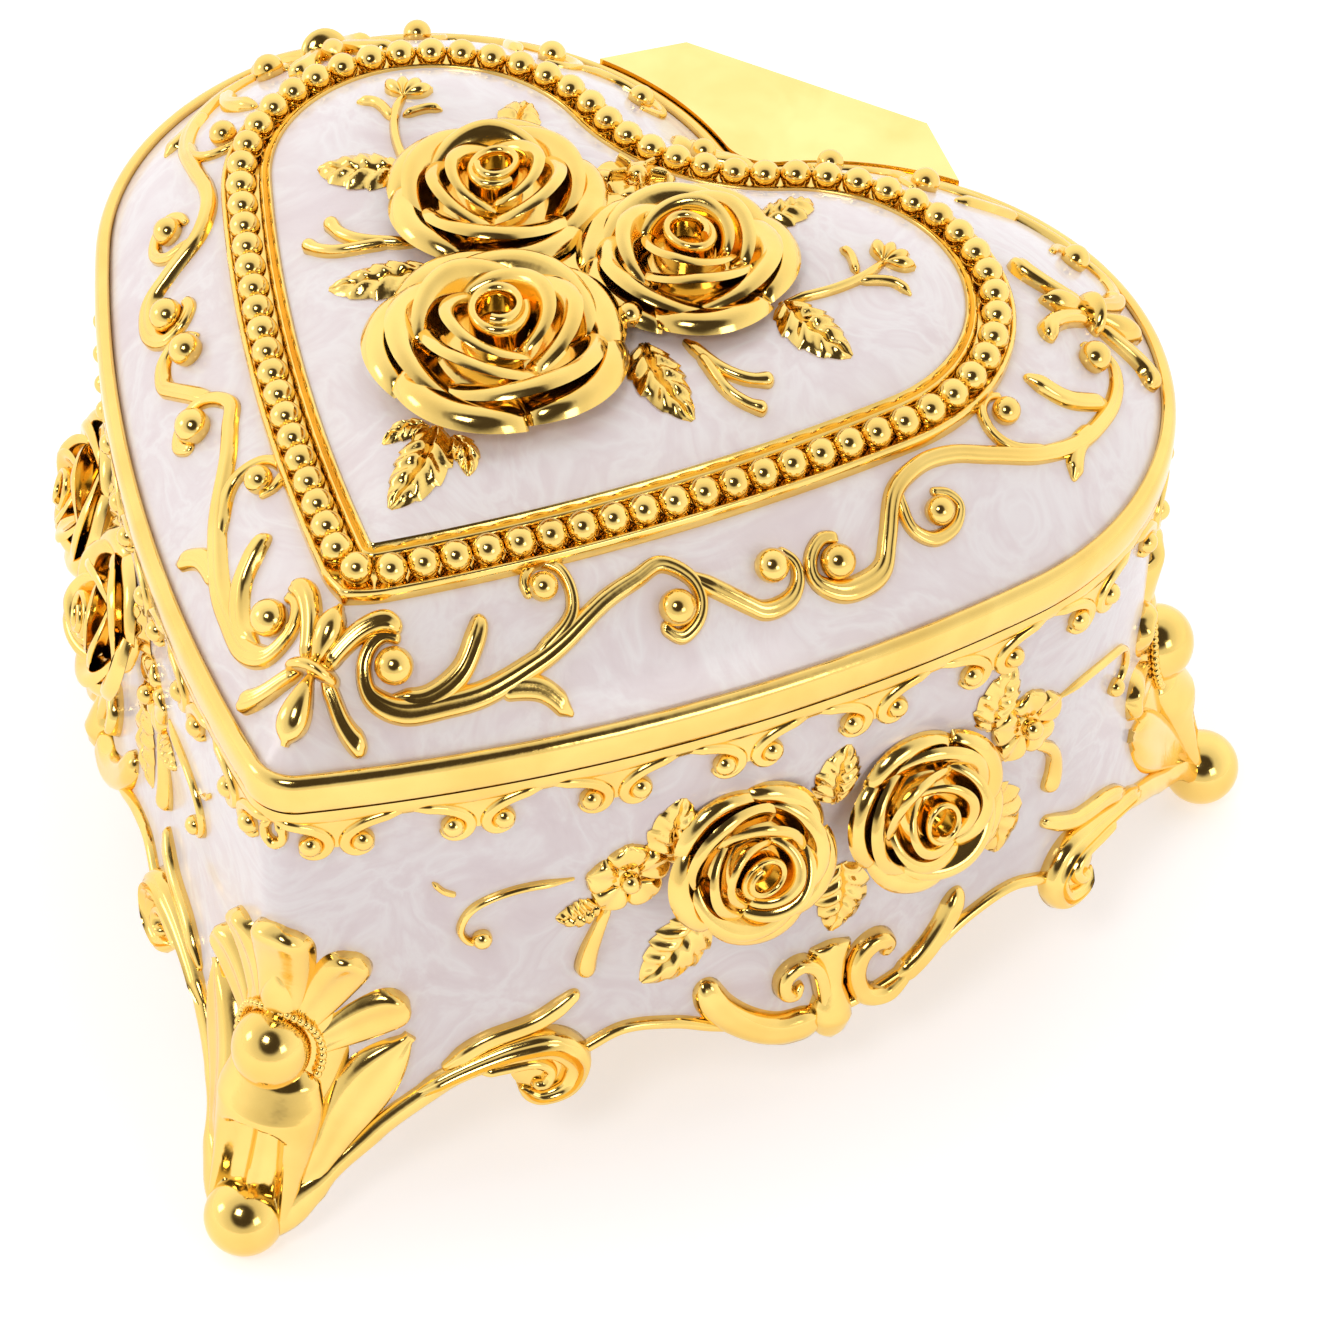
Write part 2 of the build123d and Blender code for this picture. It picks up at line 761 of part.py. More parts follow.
lid_rose_y = rim_tip_y + lid_rose_from_tip
with BuildPart() as lid_roses:
    with Locations((lid_rose_spread, lid_rose_y, crown_z), (-lid_rose_spread, lid_rose_y, crown_z)):
        add(rose(lid_rose_radius))
    with Locations((0, rim_tip_y + front_rose_from_tip, crown_z)):
        add(rose(front_rose_radius))
lid_roses.part.label = "lid_roses"

with BuildPart() as lid_lining:
    with BuildSketch(level(lid_z + lid_lining_recess)):
        add(rim.face(-band_thickness - lid_wall - seat_gap))
    extrude(amount=lid_lining_thickness)
lid_lining.part.label = "lid_lining"

# Roses on the two side walls
wall_roses = []
for flank, flank_name in ((1, "right_wall_roses"), (-1, "left_wall_roses")):
    with BuildPart() as bunch:
        for station in wall_rose_stations:
            spot, turn = rim.station(station, -wall_inset)
            outward = (flank * cos(radians(turn)), sin(radians(turn)), 0)
            with Locations(Plane((flank * spot[0], spot[1], wall_rose_z), x_dir=(0, 0, 1), z_dir=outward)):
                add(rose(wall_rose_radius))
        add(seat_block.part, mode=Mode.SUBTRACT)
    bunch.part.label = flank_name
    wall_roses.append(bunch)

# Rear hinge: plate with two knuckles on the lid, housing with the middle knuckle on the body
plate_back_y = hinge_y + plate_overhang
plate_reach = plate_back_y - lobe_y
plate_wide_half = plate_half_width + plate_side_slope * plate_reach
with BuildPart() as hinge_plate:
    with BuildSketch(level(plate_top_z - plate_thickness)):
        with BuildLine():
            Polyline(
                (-plate_half_width, plate_back_y),
                (plate_half_width, plate_back_y),
                (plate_wide_half, plate_back_y - plate_reach),
                (-plate_wide_half, plate_back_y - plate_reach),
                close=True,
            )
        make_face()
        add(rim.face(seat_gap), mode=Mode.SUBTRACT)
    extrude(amount=plate_thickness)
    middle = (knuckle_inner + knuckle_outer) / 2
    with Locations((middle, hinge_y, hinge_z), (-middle, hinge_y, hinge_z)):
        Cylinder(knuckle_radius, knuckle_outer - knuckle_inner, rotation=(0, 90, 0))
    with Locations((0, hinge_y, hinge_z)):
        Cylinder(pin_radius + running_gap, 2 * knuckle_outer, rotation=(0, 90, 0), mode=Mode.SUBTRACT)
    with Locations((0, hinge_y, hinge_z)):
        Cylinder(
            knuckle_radius + lift_gap,
            2 * (knuckle_inner + lift_gap),
            rotation=(0, 90, 0),
            mode=Mode.SUBTRACT,
        )
hinge_plate.part.label = "hinge_plate"

housing_top_z = lid_z - seam
housing_back_y = hinge_y - knuckle_radius - lift_gap
with BuildPart() as hinge_housing:
    with BuildSketch(level(housing_top_z - housing_height)):
        housing_back_half = plate_half_width + plate_side_slope * (plate_back_y - housing_back_y)
        with BuildLine():
            Polyline(
                (-housing_back_half, housing_back_y),
                (housing_back_half, housing_back_y),
                (plate_wide_half, plate_back_y - plate_reach),
                (-plate_wide_half, plate_back_y - plate_reach),
                close=True,
            )
        make_face()
        add(rim.face(-wall_inset + seat_gap), mode=Mode.SUBTRACT)
    extrude(amount=housing_height)
    with Locations((0, hinge_y, hinge_z)):
        Cylinder(knuckle_radius, 2 * (knuckle_inner - lift_gap), rotation=(0, 90, 0))
    with Locations((0, housing_back_y - lug_sink, housing_top_z - lug_drop)):
        Box(
            2 * (knuckle_inner - lift_gap),
            hinge_y - housing_back_y + lug_sink,
            lug_height,
            align=(Align.CENTER, Align.MIN, Align.MAX),
        )
    with Locations((0, hinge_y, hinge_z)):
        Cylinder(pin_radius + running_gap, 2 * knuckle_outer, rotation=(0, 90, 0), mode=Mode.SUBTRACT)
hinge_housing.part.label = "hinge_housing"

with BuildPart() as hinge_pin:
    with Locations((0, hinge_y, hinge_z)):
        Cylinder(pin_radius, 2 * knuckle_outer, rotation=(0, 90, 0))
hinge_pin.part.label = "hinge_pin"

# Thin layers that the relief is cut from: over the lid's skin and over the wall
with BuildPart() as lid_layer:
    with Locations((0, 0, scroll_rise)):
        add(lid_block.part)
    with Locations((0, 0, seat_gap)):
        add(lid_block.part, mode=Mode.SUBTRACT)
with BuildPart() as wall_layer:
    with BuildSketch(level(flare_top_z)):
        add(rim.face(-wall_inset + wall_relief))
    extrude(amount=body_top_z - flare_top_z)
    with BuildSketch(level(apron_z)):
        add(rim.face(-wall_inset + flare + wall_relief))
    with BuildSketch(level(flare_top_z)):
        add(rim.face(-wall_inset + wall_relief))
    loft(ruled=True)
    add(seat_block.part, mode=Mode.SUBTRACT)


def on_plan(points):
    """Plan points from (across, distance from the tip)."""
    return [(x, rim_tip_y + from_tip) for x, from_tip in points]


def knot_leaves(place):
    """Outlines of the leaves of a knot, three each way from its tie."""
    x, from_tip, turn = place
    tie = (x, rim_tip_y + from_tip)
    outlines = []
    for lean in (0, knot_spread, -knot_spread):
        for way in (0, 180):
            aim = radians(turn + lean + way)
            outlines.append(lens(tie, along(tie, (sin(aim), cos(aim)), knot_length), knot_leaf_half_width))
    return outlines


# Scrolls, balls and knots on the slope of the lid
with BuildPart() as lid_scrolls:
    with BuildSketch(level(slope_z)):
        for scroll_line in scroll_lines:
            with BuildLine():
                Spline(*on_plan(scroll_line))
            trace(line_width=scroll_width)
        with Locations(*on_plan(scroll_balls)):
            Circle(scroll_ball_radius)
        for knot_place in knot_places:
            for outline in knot_leaves(knot_place):
                add(outline)
        mirror(about=Plane.YZ)
        add(rim.face(-band_thickness - relief_edge_gap), mode=Mode.INTERSECT)
        add(border.face(border_outer + relief_edge_gap), mode=Mode.SUBTRACT)
    extrude(amount=slope_rise + scroll_rise)
    add(lid_layer.part, mode=Mode.INTERSECT)
lid_scrolls.part.label = "lid_scrolls"

# Leaves, stems and daisy round the roses on the panel
with BuildPart() as lid_leaves:
    with BuildSketch(level(panel_z)):
        for base, tip, half_width in lid_leaves_at:
            add(lens(*on_plan((base, tip)), half_width))
        for spray_line in spray_lines:
            with BuildLine():
                Spline(*on_plan(spray_line))
            trace(line_width=spray_stem_width)
        mirror(about=Plane.YZ)
        add(lens(*on_plan(tip_leaf_at[:2]), tip_leaf_at[2]))
        with Locations(*on_plan([(0, daisy_from_tip)])):
            Circle(flower_radius)
        with Locations((lid_rose_spread, lid_rose_y), (-lid_rose_spread, lid_rose_y)):
            Circle(lid_rose_radius, mode=Mode.SUBTRACT)
        with Locations((0, rim_tip_y + front_rose_from_tip)):
            Circle(front_rose_radius, mode=Mode.SUBTRACT)
        add(border.face(-border_inner - relief_edge_gap), mode=Mode.INTERSECT)
    extrude(amount=panel_crown + scroll_rise)
    add(lid_layer.part, mode=Mode.INTERSECT)
lid_leaves.part.label = "lid_leaves"

# Leaves and flowers beside the roses of each flank
flank_middle = sum(wall_rose_stations) / len(wall_rose_stations)
wall_leaves = []
for flank, flank_name in ((1, "right_wall_leaves"), (-1, "left_wall_leaves")):
    with BuildPart() as spray:
        with BuildSketch(flank_plane(flank, 0, 0)):
            for base, tip, half_width in wall_leaves_at:
                root = (flank * (base[0] - flank_middle), base[1])
                point = (flank * (tip[0] - flank_middle), tip[1])
                add(lens(root, point, half_width))
            with Locations([(flank * (s - flank_middle), z) for s, z in wall_flowers_at]):
                Circle(flower_radius)
            with Locations([(flank * (s - flank_middle), wall_rose_z) for s in wall_rose_stations]):
                Circle(wall_rose_radius, mode=Mode.SUBTRACT)
        extrude(amount=leg_reach, both=True)
        add(wall_layer.part, mode=Mode.INTERSECT)
    spray.part.label = flank_name
    wall_leaves.append(spray)


def wall_plane(flank, station):
    """Upright plane on the wall at a distance from the tip, facing out, with its Y axis up."""
    spot, turn = rim.station(station, -wall_inset)
    outward = (flank * cos(radians(turn)), sin(radians(turn)), 0)
    return Plane((flank * spot[0], spot[1], 0), x_dir=(-outward[1], outward[0], 0), z_dir=outward)


# Gold strip under the lid with its swags, left out where the hinge housing stands
strip_z = body_top_z - strip_height
with BuildPart() as rim_strip:
    with BuildSketch(level(strip_z)):
        add(rim.face(2 * wall_relief))
    extrude(amount=strip_height)
    for flank in (1, -1):
        for k in range(swag_count):
            with BuildSketch(wall_plane(flank, swag_first + k * swag_pitch)):
                with BuildLine():
                    Polyline(
                        (-swag_top_half_width, strip_z),
                        (swag_top_half_width, strip_z),
                        (swag_half_width, strip_z - swag_drop / 2),
                        (swag_half_width / 2, strip_z - swag_drop),
                        (0, strip_z - swag_drop / 2),
                        (-swag_half_width / 2, strip_z - swag_drop),
                        (-swag_half_width, strip_z - swag_drop / 2),
                        close=True,
                    )
                make_face()
            extrude(amount=2 * wall_relief, both=True)
    add(wall_layer.part, mode=Mode.INTERSECT)
    with Locations((0, hinge_y, strip_z)):
        Box(2 * lobe_offset, 2 * (hinge_y - lobe_y), 2 * strip_height, mode=Mode.SUBTRACT)
rim_strip.part.label = "rim_strip"

# C scrolls on the apron, one each side of every leg
lobe_leg_station = rim.lobe_station(lobe_leg_angle, -wall_inset)
apron_scroll_stations = [
    apron_scroll_from_leg,
    lobe_leg_station - apron_scroll_from_leg,
    lobe_leg_station + apron_scroll_from_leg,
]
with BuildPart() as apron_scrolls:
    for flank in (1, -1):
        for station in apron_scroll_stations:
            with BuildSketch(wall_plane(flank, station)):
                with Locations((0, apron_scroll_z)):
                    Circle(apron_scroll_radius)
            extrude(amount=leg_reach, both=True)
    add(wall_layer.part, mode=Mode.INTERSECT)
apron_scrolls.part.label = "apron_scrolls"

movement_y = rim_tip_y + movement_from_tip

# Movement frame: levels above the base plate and places along the drum
bed_top_z = base_top_z + bedplate_thickness
housing_lid_z = bed_top_z + spring_housing_height
drive_wheel_z = housing_lid_z + lift_gap
drum_pinion_radius = drum_pinion_teeth * drive_pin_circle / drive_pins
drum_z = drive_wheel_z - lift_gap - pinion_addendum - drum_pinion_radius
pinion_x = arbor_x + drive_pin_circle
drum_x = arbor_x + drum_start
gear_x = drum_x + drum_length + 2 * post_gap + bearing_thickness
worm_wheel_x = gear_x + gear_thickness + wheel_gap
right_bearing_x = worm_wheel_x + gear_thickness + wheel_gap
left_bearing_x = pinion_x - drum_pinion_thickness / 2 - post_gap - bearing_thickness
drum_gear_radius = drum_gear_teeth * gear_module / 2
governor_pinion_radius = governor_pinion_teeth * gear_module / 2
governor_y = movement_y + drum_gear_radius + governor_pinion_radius
worm_x = worm_wheel_x + gear_thickness / 2
worm_wheel_radius = worm_wheel_teeth * gear_module / 2
worm_y = governor_y + worm_wheel_radius + worm_pitch_radius
worm_lead = pi * gear_module
worm_turns = 2 * (worm_half_turns + mesh_quarter)
worm_start_z = drum_z - worm_lead * worm_turns / 2
worm_arm_z = drum_z + worm_lead * worm_turns / 2 + wheel_gap
fan_z = worm_arm_z + worm_arm_thickness + lift_gap
worm_plate_y = worm_y + worm_thread_radius + post_gap
stop_rod_y = worm_y + fan_radius + brake_gap + stop_finger_reach


def gear_face(teeth, pitch_radius, addendum, dedendum, root_share, tip_share, phase):
    """Straight-sided gear outline with its first tooth at a phase angle in degrees.

    Each tooth is two shares of the pitch wide: root_share at its root and tip_share at its tip.
    """
    corners = []
    for tooth in range(teeth):
        for share, radius in (
            (-root_share / 2, pitch_radius - dedendum),
            (-tip_share / 2, pitch_radius + addendum),
            (tip_share / 2, pitch_radius + addendum),
            (root_share / 2, pitch_radius - dedendum),
        ):
            angle = radians(phase + (tooth + share) * 360 / teeth)
            corners.append((radius * cos(angle), radius * sin(angle)))
    with BuildSketch() as outline:
        with BuildLine():
            Polyline(*corners, close=True)
        make_face()
    return outline.sketch


def across(x):
    """Upright plane square to the drum, at a place along X: its own X is +Y and its own Y is +Z."""
    return Plane((x, 0, 0), x_dir=(0, 1, 0), z_dir=(1, 0, 0))


def rod_along_drum(radius, start_x, end_x, y):
    """Round bar parallel to the drum at the drum's height."""
    with BuildPart() as bar:
        with BuildSketch(across(start_x)):
            with Locations((y, drum_z)):
                Circle(radius)
        extrude(amount=end_x - start_x)
    return bar.part


def gear_along_drum(outline, start_x, thickness, y, bore_radius):
    """Gear parallel to the drum, with a bore for its arbor."""
    with BuildPart() as wheel:
        with BuildSketch(across(start_x)):
            with Locations((y, drum_z)):
                add(outline)
                Circle(bore_radius, mode=Mode.SUBTRACT)
        extrude(amount=thickness)
    return wheel.part


def bearing(start_x, front_y, back_y, top_z, bores):
    """Upright bearing plate on the bedplate, with a bore for each arbor given as (y, radius)."""
    with BuildPart() as plate:
        with BuildSketch(across(start_x)):
            with Locations((front_y, bed_top_z)):
                Rectangle(back_y - front_y, top_z - bed_top_z, align=(Align.MIN, Align.MIN))
            for bore_y, bore_radius in bores:
                with Locations((bore_y, drum_z)):
                    Circle(bore_radius, mode=Mode.SUBTRACT)
        extrude(amount=bearing_thickness)
    return plate.part


# Bedplate with the comb's riser
comb_tip_y = movement_y - drum_radius - drum_pin_height - pluck_gap
comb_root_y = comb_tip_y - comb_tooth_length
comb_back_y = comb_root_y - comb_depth
comb_z = drum_z - comb_thickness / 2
comb_screw_y = comb_back_y + comb_depth / 2
comb_screw_places = [(drum_x + drum_length * share, comb_screw_y) for share in comb_screw_shares]
bed_left_x = arbor_x - bedplate_left
bed_right_x = arbor_x + bedplate_right
bed_front_y = movement_y - bedplate_front
bed_back_y = movement_y + bedplate_back
movement_screw_places = [
    (bed_left_x + bed_screw_inset, bed_front_y + bed_screw_inset),
    (bed_right_x - bed_screw_inset, bed_front_y + bed_screw_inset),
    (bed_left_x + bed_screw_inset, bed_back_y - bed_screw_inset),
]
with BuildPart() as bedplate:
    with Locations((bed_left_x, bed_front_y, base_top_z)):
        Box(
            bed_right_x - bed_left_x,
            bed_back_y - bed_front_y,
            bedplate_thickness,
            align=(Align.MIN, Align.MIN, Align.MIN),
        )
    with Locations((drum_x, comb_back_y, bed_top_z)):
        Box(drum_length, comb_depth, comb_z - bed_top_z, align=(Align.MIN, Align.MIN, Align.MIN))
    with Locations((arbor_x, movement_y, bed_top_z)):
        Hole(arbor_radius + running_gap, depth=bedplate_thickness)
    with Locations([(x, y, bed_top_z) for x, y in movement_screw_places]):
        Hole(screw_radius + running_gap, depth=bedplate_thickness)
    with Locations([(x, y, comb_z) for x, y in comb_screw_places]):
        Hole(screw_radius + running_gap, depth=comb_screw_length)
bedplate.part.label = "bedplate"

with BuildPart() as movement_screws:
    with Locations([(x, y, bed_top_z) for x, y in movement_screw_places]):
        add(screw(bedplate_thickness + base_thickness - lift_gap))
movement_screws.part.label = "movement_screws"

# Base plate, screwed up against its ledge
with BuildPart() as base_plate:
    with BuildSketch(level(base_z)):
        add(rim.face(wall_inner - base_edge_gap))
    extrude(amount=base_thickness)
    with Locations([(x, y, base_top_z) for x, y in base_screw_places + movement_screw_places]):
        Hole(screw_radius + running_gap, depth=base_thickness)
    with Locations((arbor_x, movement_y, base_top_z)):
        Hole(arbor_radius + running_gap, depth=base_thickness)
base_plate.part.label = "base_plate"

with BuildPart() as base_screws:
    for x, y in base_screw_places:
        with Locations(Plane((x, y, base_z), z_dir=(0, 0, -1))):
            add(screw(base_thickness + ledge_height - lift_gap))
base_screws.part.label = "base_screws"

# Comb: steel plate with one tooth for each track of the drum
tooth_pitch = drum_length / comb_teeth
track_places = [drum_x + (track + 0.5) * tooth_pitch for track in range(comb_teeth)]
with BuildPart() as comb:
    with Locations((drum_x, comb_back_y, comb_z)):
        Box(drum_length, comb_depth, comb_thickness, align=(Align.MIN, Align.MIN, Align.MIN))
    with Locations([(x, comb_root_y - comb_tooth_sink, comb_z) for x in track_places]):
        Box(
            tooth_pitch * comb_tooth_share,
            comb_tooth_length + comb_tooth_sink,
            comb_thickness,
            align=(Align.CENTER, Align.MIN, Align.MIN),
        )
    with Locations([(x, y, comb_z + comb_thickness) for x, y in comb_screw_places]):
        Hole(screw_radius + running_gap, depth=comb_thickness)
comb.part.label = "comb"

with BuildPart() as comb_screws:
    with Locations([(x, y, comb_z + comb_thickness) for x, y in comb_screw_places]):
        add(screw(comb_thickness + comb_screw_length - lift_gap))
comb_screws.part.label = "comb_screws"

# Spring housing, mainspring, winding arbor, drive wheel and key
with BuildPart() as spring_housing:
    with BuildSketch(level(bed_top_z)):
        with Locations((arbor_x, movement_y)):
            Circle(spring_housing_radius)
    extrude(amount=spring_housing_height)
    with BuildSketch(level(bed_top_z)):
        with Locations((arbor_x, movement_y)):
            Circle(spring_housing_radius - spring_housing_wall)
    extrude(amount=spring_housing_height - spring_housing_wall, mode=Mode.SUBTRACT)
    with Locations((arbor_x, movement_y, housing_lid_z)):
        Hole(arbor_radius + running_gap, depth=spring_housing_height)
spring_housing.part.label = "spring_housing"

coil_start = arbor_radius + lift_gap + mainspring_thickness
coil_end = spring_housing_radius - spring_housing_wall - lift_gap - mainspring_thickness
coil_steps = mainspring_points_per_turn * mainspring_turns


def coil_point(step, side):
    """Point of the mainspring's spiral, on its middle line or half its thickness to a side."""
    radius = coil_start + (coil_end - coil_start) * step / coil_steps + side * mainspring_thickness / 2
    angle = 2 * pi * mainspring_turns * step / coil_steps
    return arbor_x + radius * cos(angle), movement_y + radius * sin(angle)


with BuildPart() as mainspring:
    with BuildSketch(level(bed_top_z + lift_gap)):
        with BuildLine():
            outside = Spline([coil_point(step, 1) for step in range(coil_steps + 1)])
            inside = Spline([coil_point(step, -1) for step in range(coil_steps + 1)])
            Line(outside @ 0, inside @ 0)
            Line(outside @ 1, inside @ 1)
        make_face()
    extrude(amount=spring_housing_height - spring_housing_wall - 2 * lift_gap)
mainspring.part.label = "mainspring"

arbor_bottom_z = base_z - arbor_below_base
arbor_top_z = drive_wheel_z + drive_wheel_thickness
with BuildPart() as winding_arbor:
    with BuildSketch(level(arbor_bottom_z)):
        with Locations((arbor_x, movement_y)):
            Circle(arbor_radius)
    extrude(amount=arbor_top_z - arbor_bottom_z)
winding_arbor.part.label = "winding_arbor"

with BuildPart() as drive_wheel:
    with BuildSketch(level(drive_wheel_z)):
        with Locations((arbor_x, movement_y)):
            Circle(drive_pin_circle + drive_wheel_rim)
            Circle(arbor_radius + seat_gap, mode=Mode.SUBTRACT)
            with PolarLocations((arbor_radius + drive_pin_circle) / 2, drive_wheel_windows):
                Circle(drive_window_radius, mode=Mode.SUBTRACT)
    extrude(amount=drive_wheel_thickness)
    with BuildSketch(level(drive_wheel_z)):
        with Locations((arbor_x, movement_y)):
            with PolarLocations(drive_pin_circle, drive_pins, start_angle=180 / drive_pins):
                Circle(drive_pin_radius)
    extrude(amount=-drive_pin_length)
drive_wheel.part.label = "drive_wheel"

key_wing = key_height / 2
key_middle_z = key_ground_gap + key_wing
with BuildPart() as winding_key:
    with BuildSketch(Plane((arbor_x, movement_y, key_middle_z), x_dir=(1, 0, 0), z_dir=(0, -1, 0))):
        with Locations((key_half_width - key_wing, 0), (key_wing - key_half_width, 0)):
            Circle(key_wing)
        Rectangle(2 * (key_half_width - key_wing), key_wing)
        with Locations((key_half_width - key_wing, 0), (key_wing - key_half_width, 0)):
            Circle(key_hole_radius, mode=Mode.SUBTRACT)
    extrude(amount=key_thickness / 2, both=True)
    with BuildSketch(level(key_middle_z)):
        with Locations((arbor_x, movement_y)):
            Circle(key_hub_radius)
    extrude(amount=base_z - key_base_gap - key_middle_z)
    with BuildSketch(level(arbor_bottom_z - seat_gap)):
        with Locations((arbor_x, movement_y)):
            Circle(arbor_radius + seat_gap)
    extrude(amount=base_z - arbor_bottom_z, mode=Mode.SUBTRACT)
winding_key.part.label = "winding_key"

# Drum with its pins, arbor, pinion and gear
drum_wheel_bore = drum_arbor_radius + seat_gap
governor_wheel_bore = governor_arbor_radius + seat_gap
with BuildPart() as drum:
    with BuildSketch(across(drum_x)):
        with Locations((movement_y, drum_z)):
            Circle(drum_radius)
            Circle(drum_wheel_bore, mode=Mode.SUBTRACT)
    extrude(amount=drum_length)
    for track, x in enumerate(track_places):
        for note in range(notes_per_track):
            turn = radians(track * track_turn + note * 360 / notes_per_track)
            spoke = (0, cos(turn), sin(turn))
            foot_radius = drum_radius - drum_pin_sink
            foot = (x, movement_y + foot_radius * spoke[1], drum_z + foot_radius * spoke[2])
            with BuildSketch(Plane(foot, x_dir=(1, 0, 0), z_dir=spoke)):
                Circle(drum_pin_radius)
    extrude(amount=drum_pin_sink + drum_pin_height)
drum.part.label = "drum"

arbor_end_x = right_bearing_x + bearing_thickness + lift_gap
with BuildPart() as drum_arbor:
    add(rod_along_drum(drum_arbor_radius, left_bearing_x - lift_gap, arbor_end_x, movement_y))
drum_arbor.part.label = "drum_arbor"

pinion_up = 90
with BuildPart() as drum_pinion:
    outline = gear_face(
        drum_pinion_teeth,
        drum_pinion_radius,
        pinion_addendum,
        pinion_dedendum,
        pinion_root_share,
        pinion_tip_share,
        pinion_up,
    )
    pinion_start = pinion_x - drum_pinion_thickness / 2
    add(gear_along_drum(outline, pinion_start, drum_pinion_thickness, movement_y, drum_wheel_bore))
drum_pinion.part.label = "drum_pinion"

with BuildPart() as drum_gear:
    outline = gear_face(
        drum_gear_teeth,
        drum_gear_radius,
        gear_addendum,
        gear_dedendum,
        gear_root_share,
        gear_tip_share,
        0,
    )
    add(gear_along_drum(outline, gear_x, gear_thickness, movement_y, drum_wheel_bore))
drum_gear.part.label = "drum_gear"

drum_bore = drum_arbor_radius + running_gap
governor_bore = governor_arbor_radius + running_gap
with BuildPart() as left_bearing:
    add(
        bearing(
            left_bearing_x,
            movement_y - bearing_half_width,
            movement_y + bearing_half_width,
            drive_wheel_z - drive_pin_length - lift_gap,
            [(movement_y, drum_bore)],
        )
    )
left_bearing.part.label = "left_bearing"

with BuildPart() as right_bearing:
    add(
        bearing(
            right_bearing_x,
            movement_y - bearing_half_width,
            governor_y + governor_half_width,
            drum_z + governor_half_width,
            [(movement_y, drum_bore), (governor_y, governor_bore)],
        )
    )
right_bearing.part.label = "right_bearing"

# Governor: arbor with pinion and worm wheel, worm with fan
post_x = gear_x - post_gap - bearing_thickness
with BuildPart() as governor_post:
    add(
        bearing(
            post_x,
            governor_y - governor_half_width,
            governor_y + governor_half_width,
            drum_z + governor_half_width,
            [(governor_y, governor_bore)],
        )
    )
governor_post.part.label = "governor_post"

with BuildPart() as governor_arbor:
    add(rod_along_drum(governor_arbor_radius, post_x - lift_gap, arbor_end_x, governor_y))
governor_arbor.part.label = "governor_arbor"

pinion_phase = 180 / governor_pinion_teeth
with BuildPart() as governor_pinion:
    outline = gear_face(
        governor_pinion_teeth,
        governor_pinion_radius,
        gear_addendum,
        gear_dedendum,
        gear_root_share,
        gear_tip_share,
        pinion_phase,
    )
    add(gear_along_drum(outline, gear_x, gear_thickness, governor_y, governor_wheel_bore))
governor_pinion.part.label = "governor_pinion"

with BuildPart() as worm_wheel:
    outline = gear_face(
        worm_wheel_teeth,
        worm_wheel_radius,
        worm_addendum,
        gear_dedendum,
        worm_wheel_root_share,
        gear_tip_share,
        0,
    )
    add(gear_along_drum(outline, worm_wheel_x, gear_thickness, governor_y, governor_wheel_bore))
worm_wheel.part.label = "worm_wheel"

thread_depth = worm_thread_radius - worm_core_radius + worm_thread_sink
with BuildPart() as worm:
    with BuildLine() as thread_path:
        Helix(
            worm_lead,
            worm_lead * worm_turns,
            worm_thread_radius - thread_depth / 2,
            center=(worm_x, worm_y, worm_start_z),
        )
    with BuildSketch(Plane(thread_path.line @ 0, x_dir=(1, 0, 0), z_dir=thread_path.line % 0)):
        Rectangle(thread_depth, worm_thread_thickness)
    sweep(path=thread_path.line, is_frenet=True)
    with BuildSketch(level(bed_top_z + lift_gap)):
        with Locations((worm_x, worm_y)):
            Circle(worm_core_radius)
    extrude(amount=fan_z + fan_height - bed_top_z - lift_gap)
worm.part.label = "worm"

with BuildPart() as fan:
    with BuildSketch(level(fan_z)):
        with Locations((worm_x, worm_y)):
            Rectangle(2 * fan_radius, fan_thickness)
            Circle(fan_hub_radius)
            Circle(worm_core_radius + seat_gap, mode=Mode.SUBTRACT)
    extrude(amount=fan_height)
fan.part.label = "fan"

with BuildPart() as worm_frame:
    with BuildSketch(level(bed_top_z)):
        with Locations((worm_x, worm_plate_y)):
            Rectangle(worm_frame_width, bearing_thickness, align=(Align.CENTER, Align.MIN))
    extrude(amount=worm_arm_z + worm_arm_thickness - bed_top_z)
    with BuildSketch(level(worm_arm_z)):
        with Locations((worm_x, worm_plate_y)):
            arm_length = worm_plate_y - worm_y + worm_arm_nose
            Rectangle(worm_frame_width, arm_length, align=(Align.CENTER, Align.MAX))
        with Locations((worm_x, worm_y)):
            Circle(worm_core_radius + running_gap, mode=Mode.SUBTRACT)
    extrude(amount=worm_arm_thickness)
worm_frame.part.label = "worm_frame"

# Stop rod: the closed lid holds it down, with its finger beside the fan
stop_finger_z = fan_z + fan_height / 2
stop_guide_top_z = stop_finger_z - stop_finger_radius - 2 * lift_gap
with BuildPart() as stop_guide:
    with BuildSketch(level(base_top_z)):
        with Locations((worm_x, stop_rod_y)):
            Circle(stop_guide_radius)
            Circle(stop_rod_radius + running_gap, mode=Mode.SUBTRACT)
    extrude(amount=stop_guide_top_z - base_top_z)
stop_guide.part.label = "stop_guide"

with BuildPart() as stop_rod:
    with BuildSketch(level(base_top_z + lift_gap)):
        with Locations((worm_x, stop_rod_y)):
            Circle(stop_rod_radius)
    extrude(amount=lid_z + lid_lining_recess - lift_gap - base_top_z - lift_gap)
    with BuildSketch(Plane((worm_x, stop_rod_y, stop_finger_z), x_dir=(1, 0, 0), z_dir=(0, -1, 0))):
        Circle(stop_finger_radius)
    extrude(amount=stop_rod_y - worm_y - fan_radius - brake_gap)
stop_rod.part.label = "stop_rod"

# False floor over the movement and its velvet lining
with BuildPart() as false_floor:
    with BuildSketch(level(floor_z)):
        add(rim.face(wall_inner - base_edge_gap))
        with Locations((worm_x, stop_rod_y)):
            Circle(stop_rod_radius + running_gap, mode=Mode.SUBTRACT)
    extrude(amount=floor_thickness)
false_floor.part.label = "false_floor"

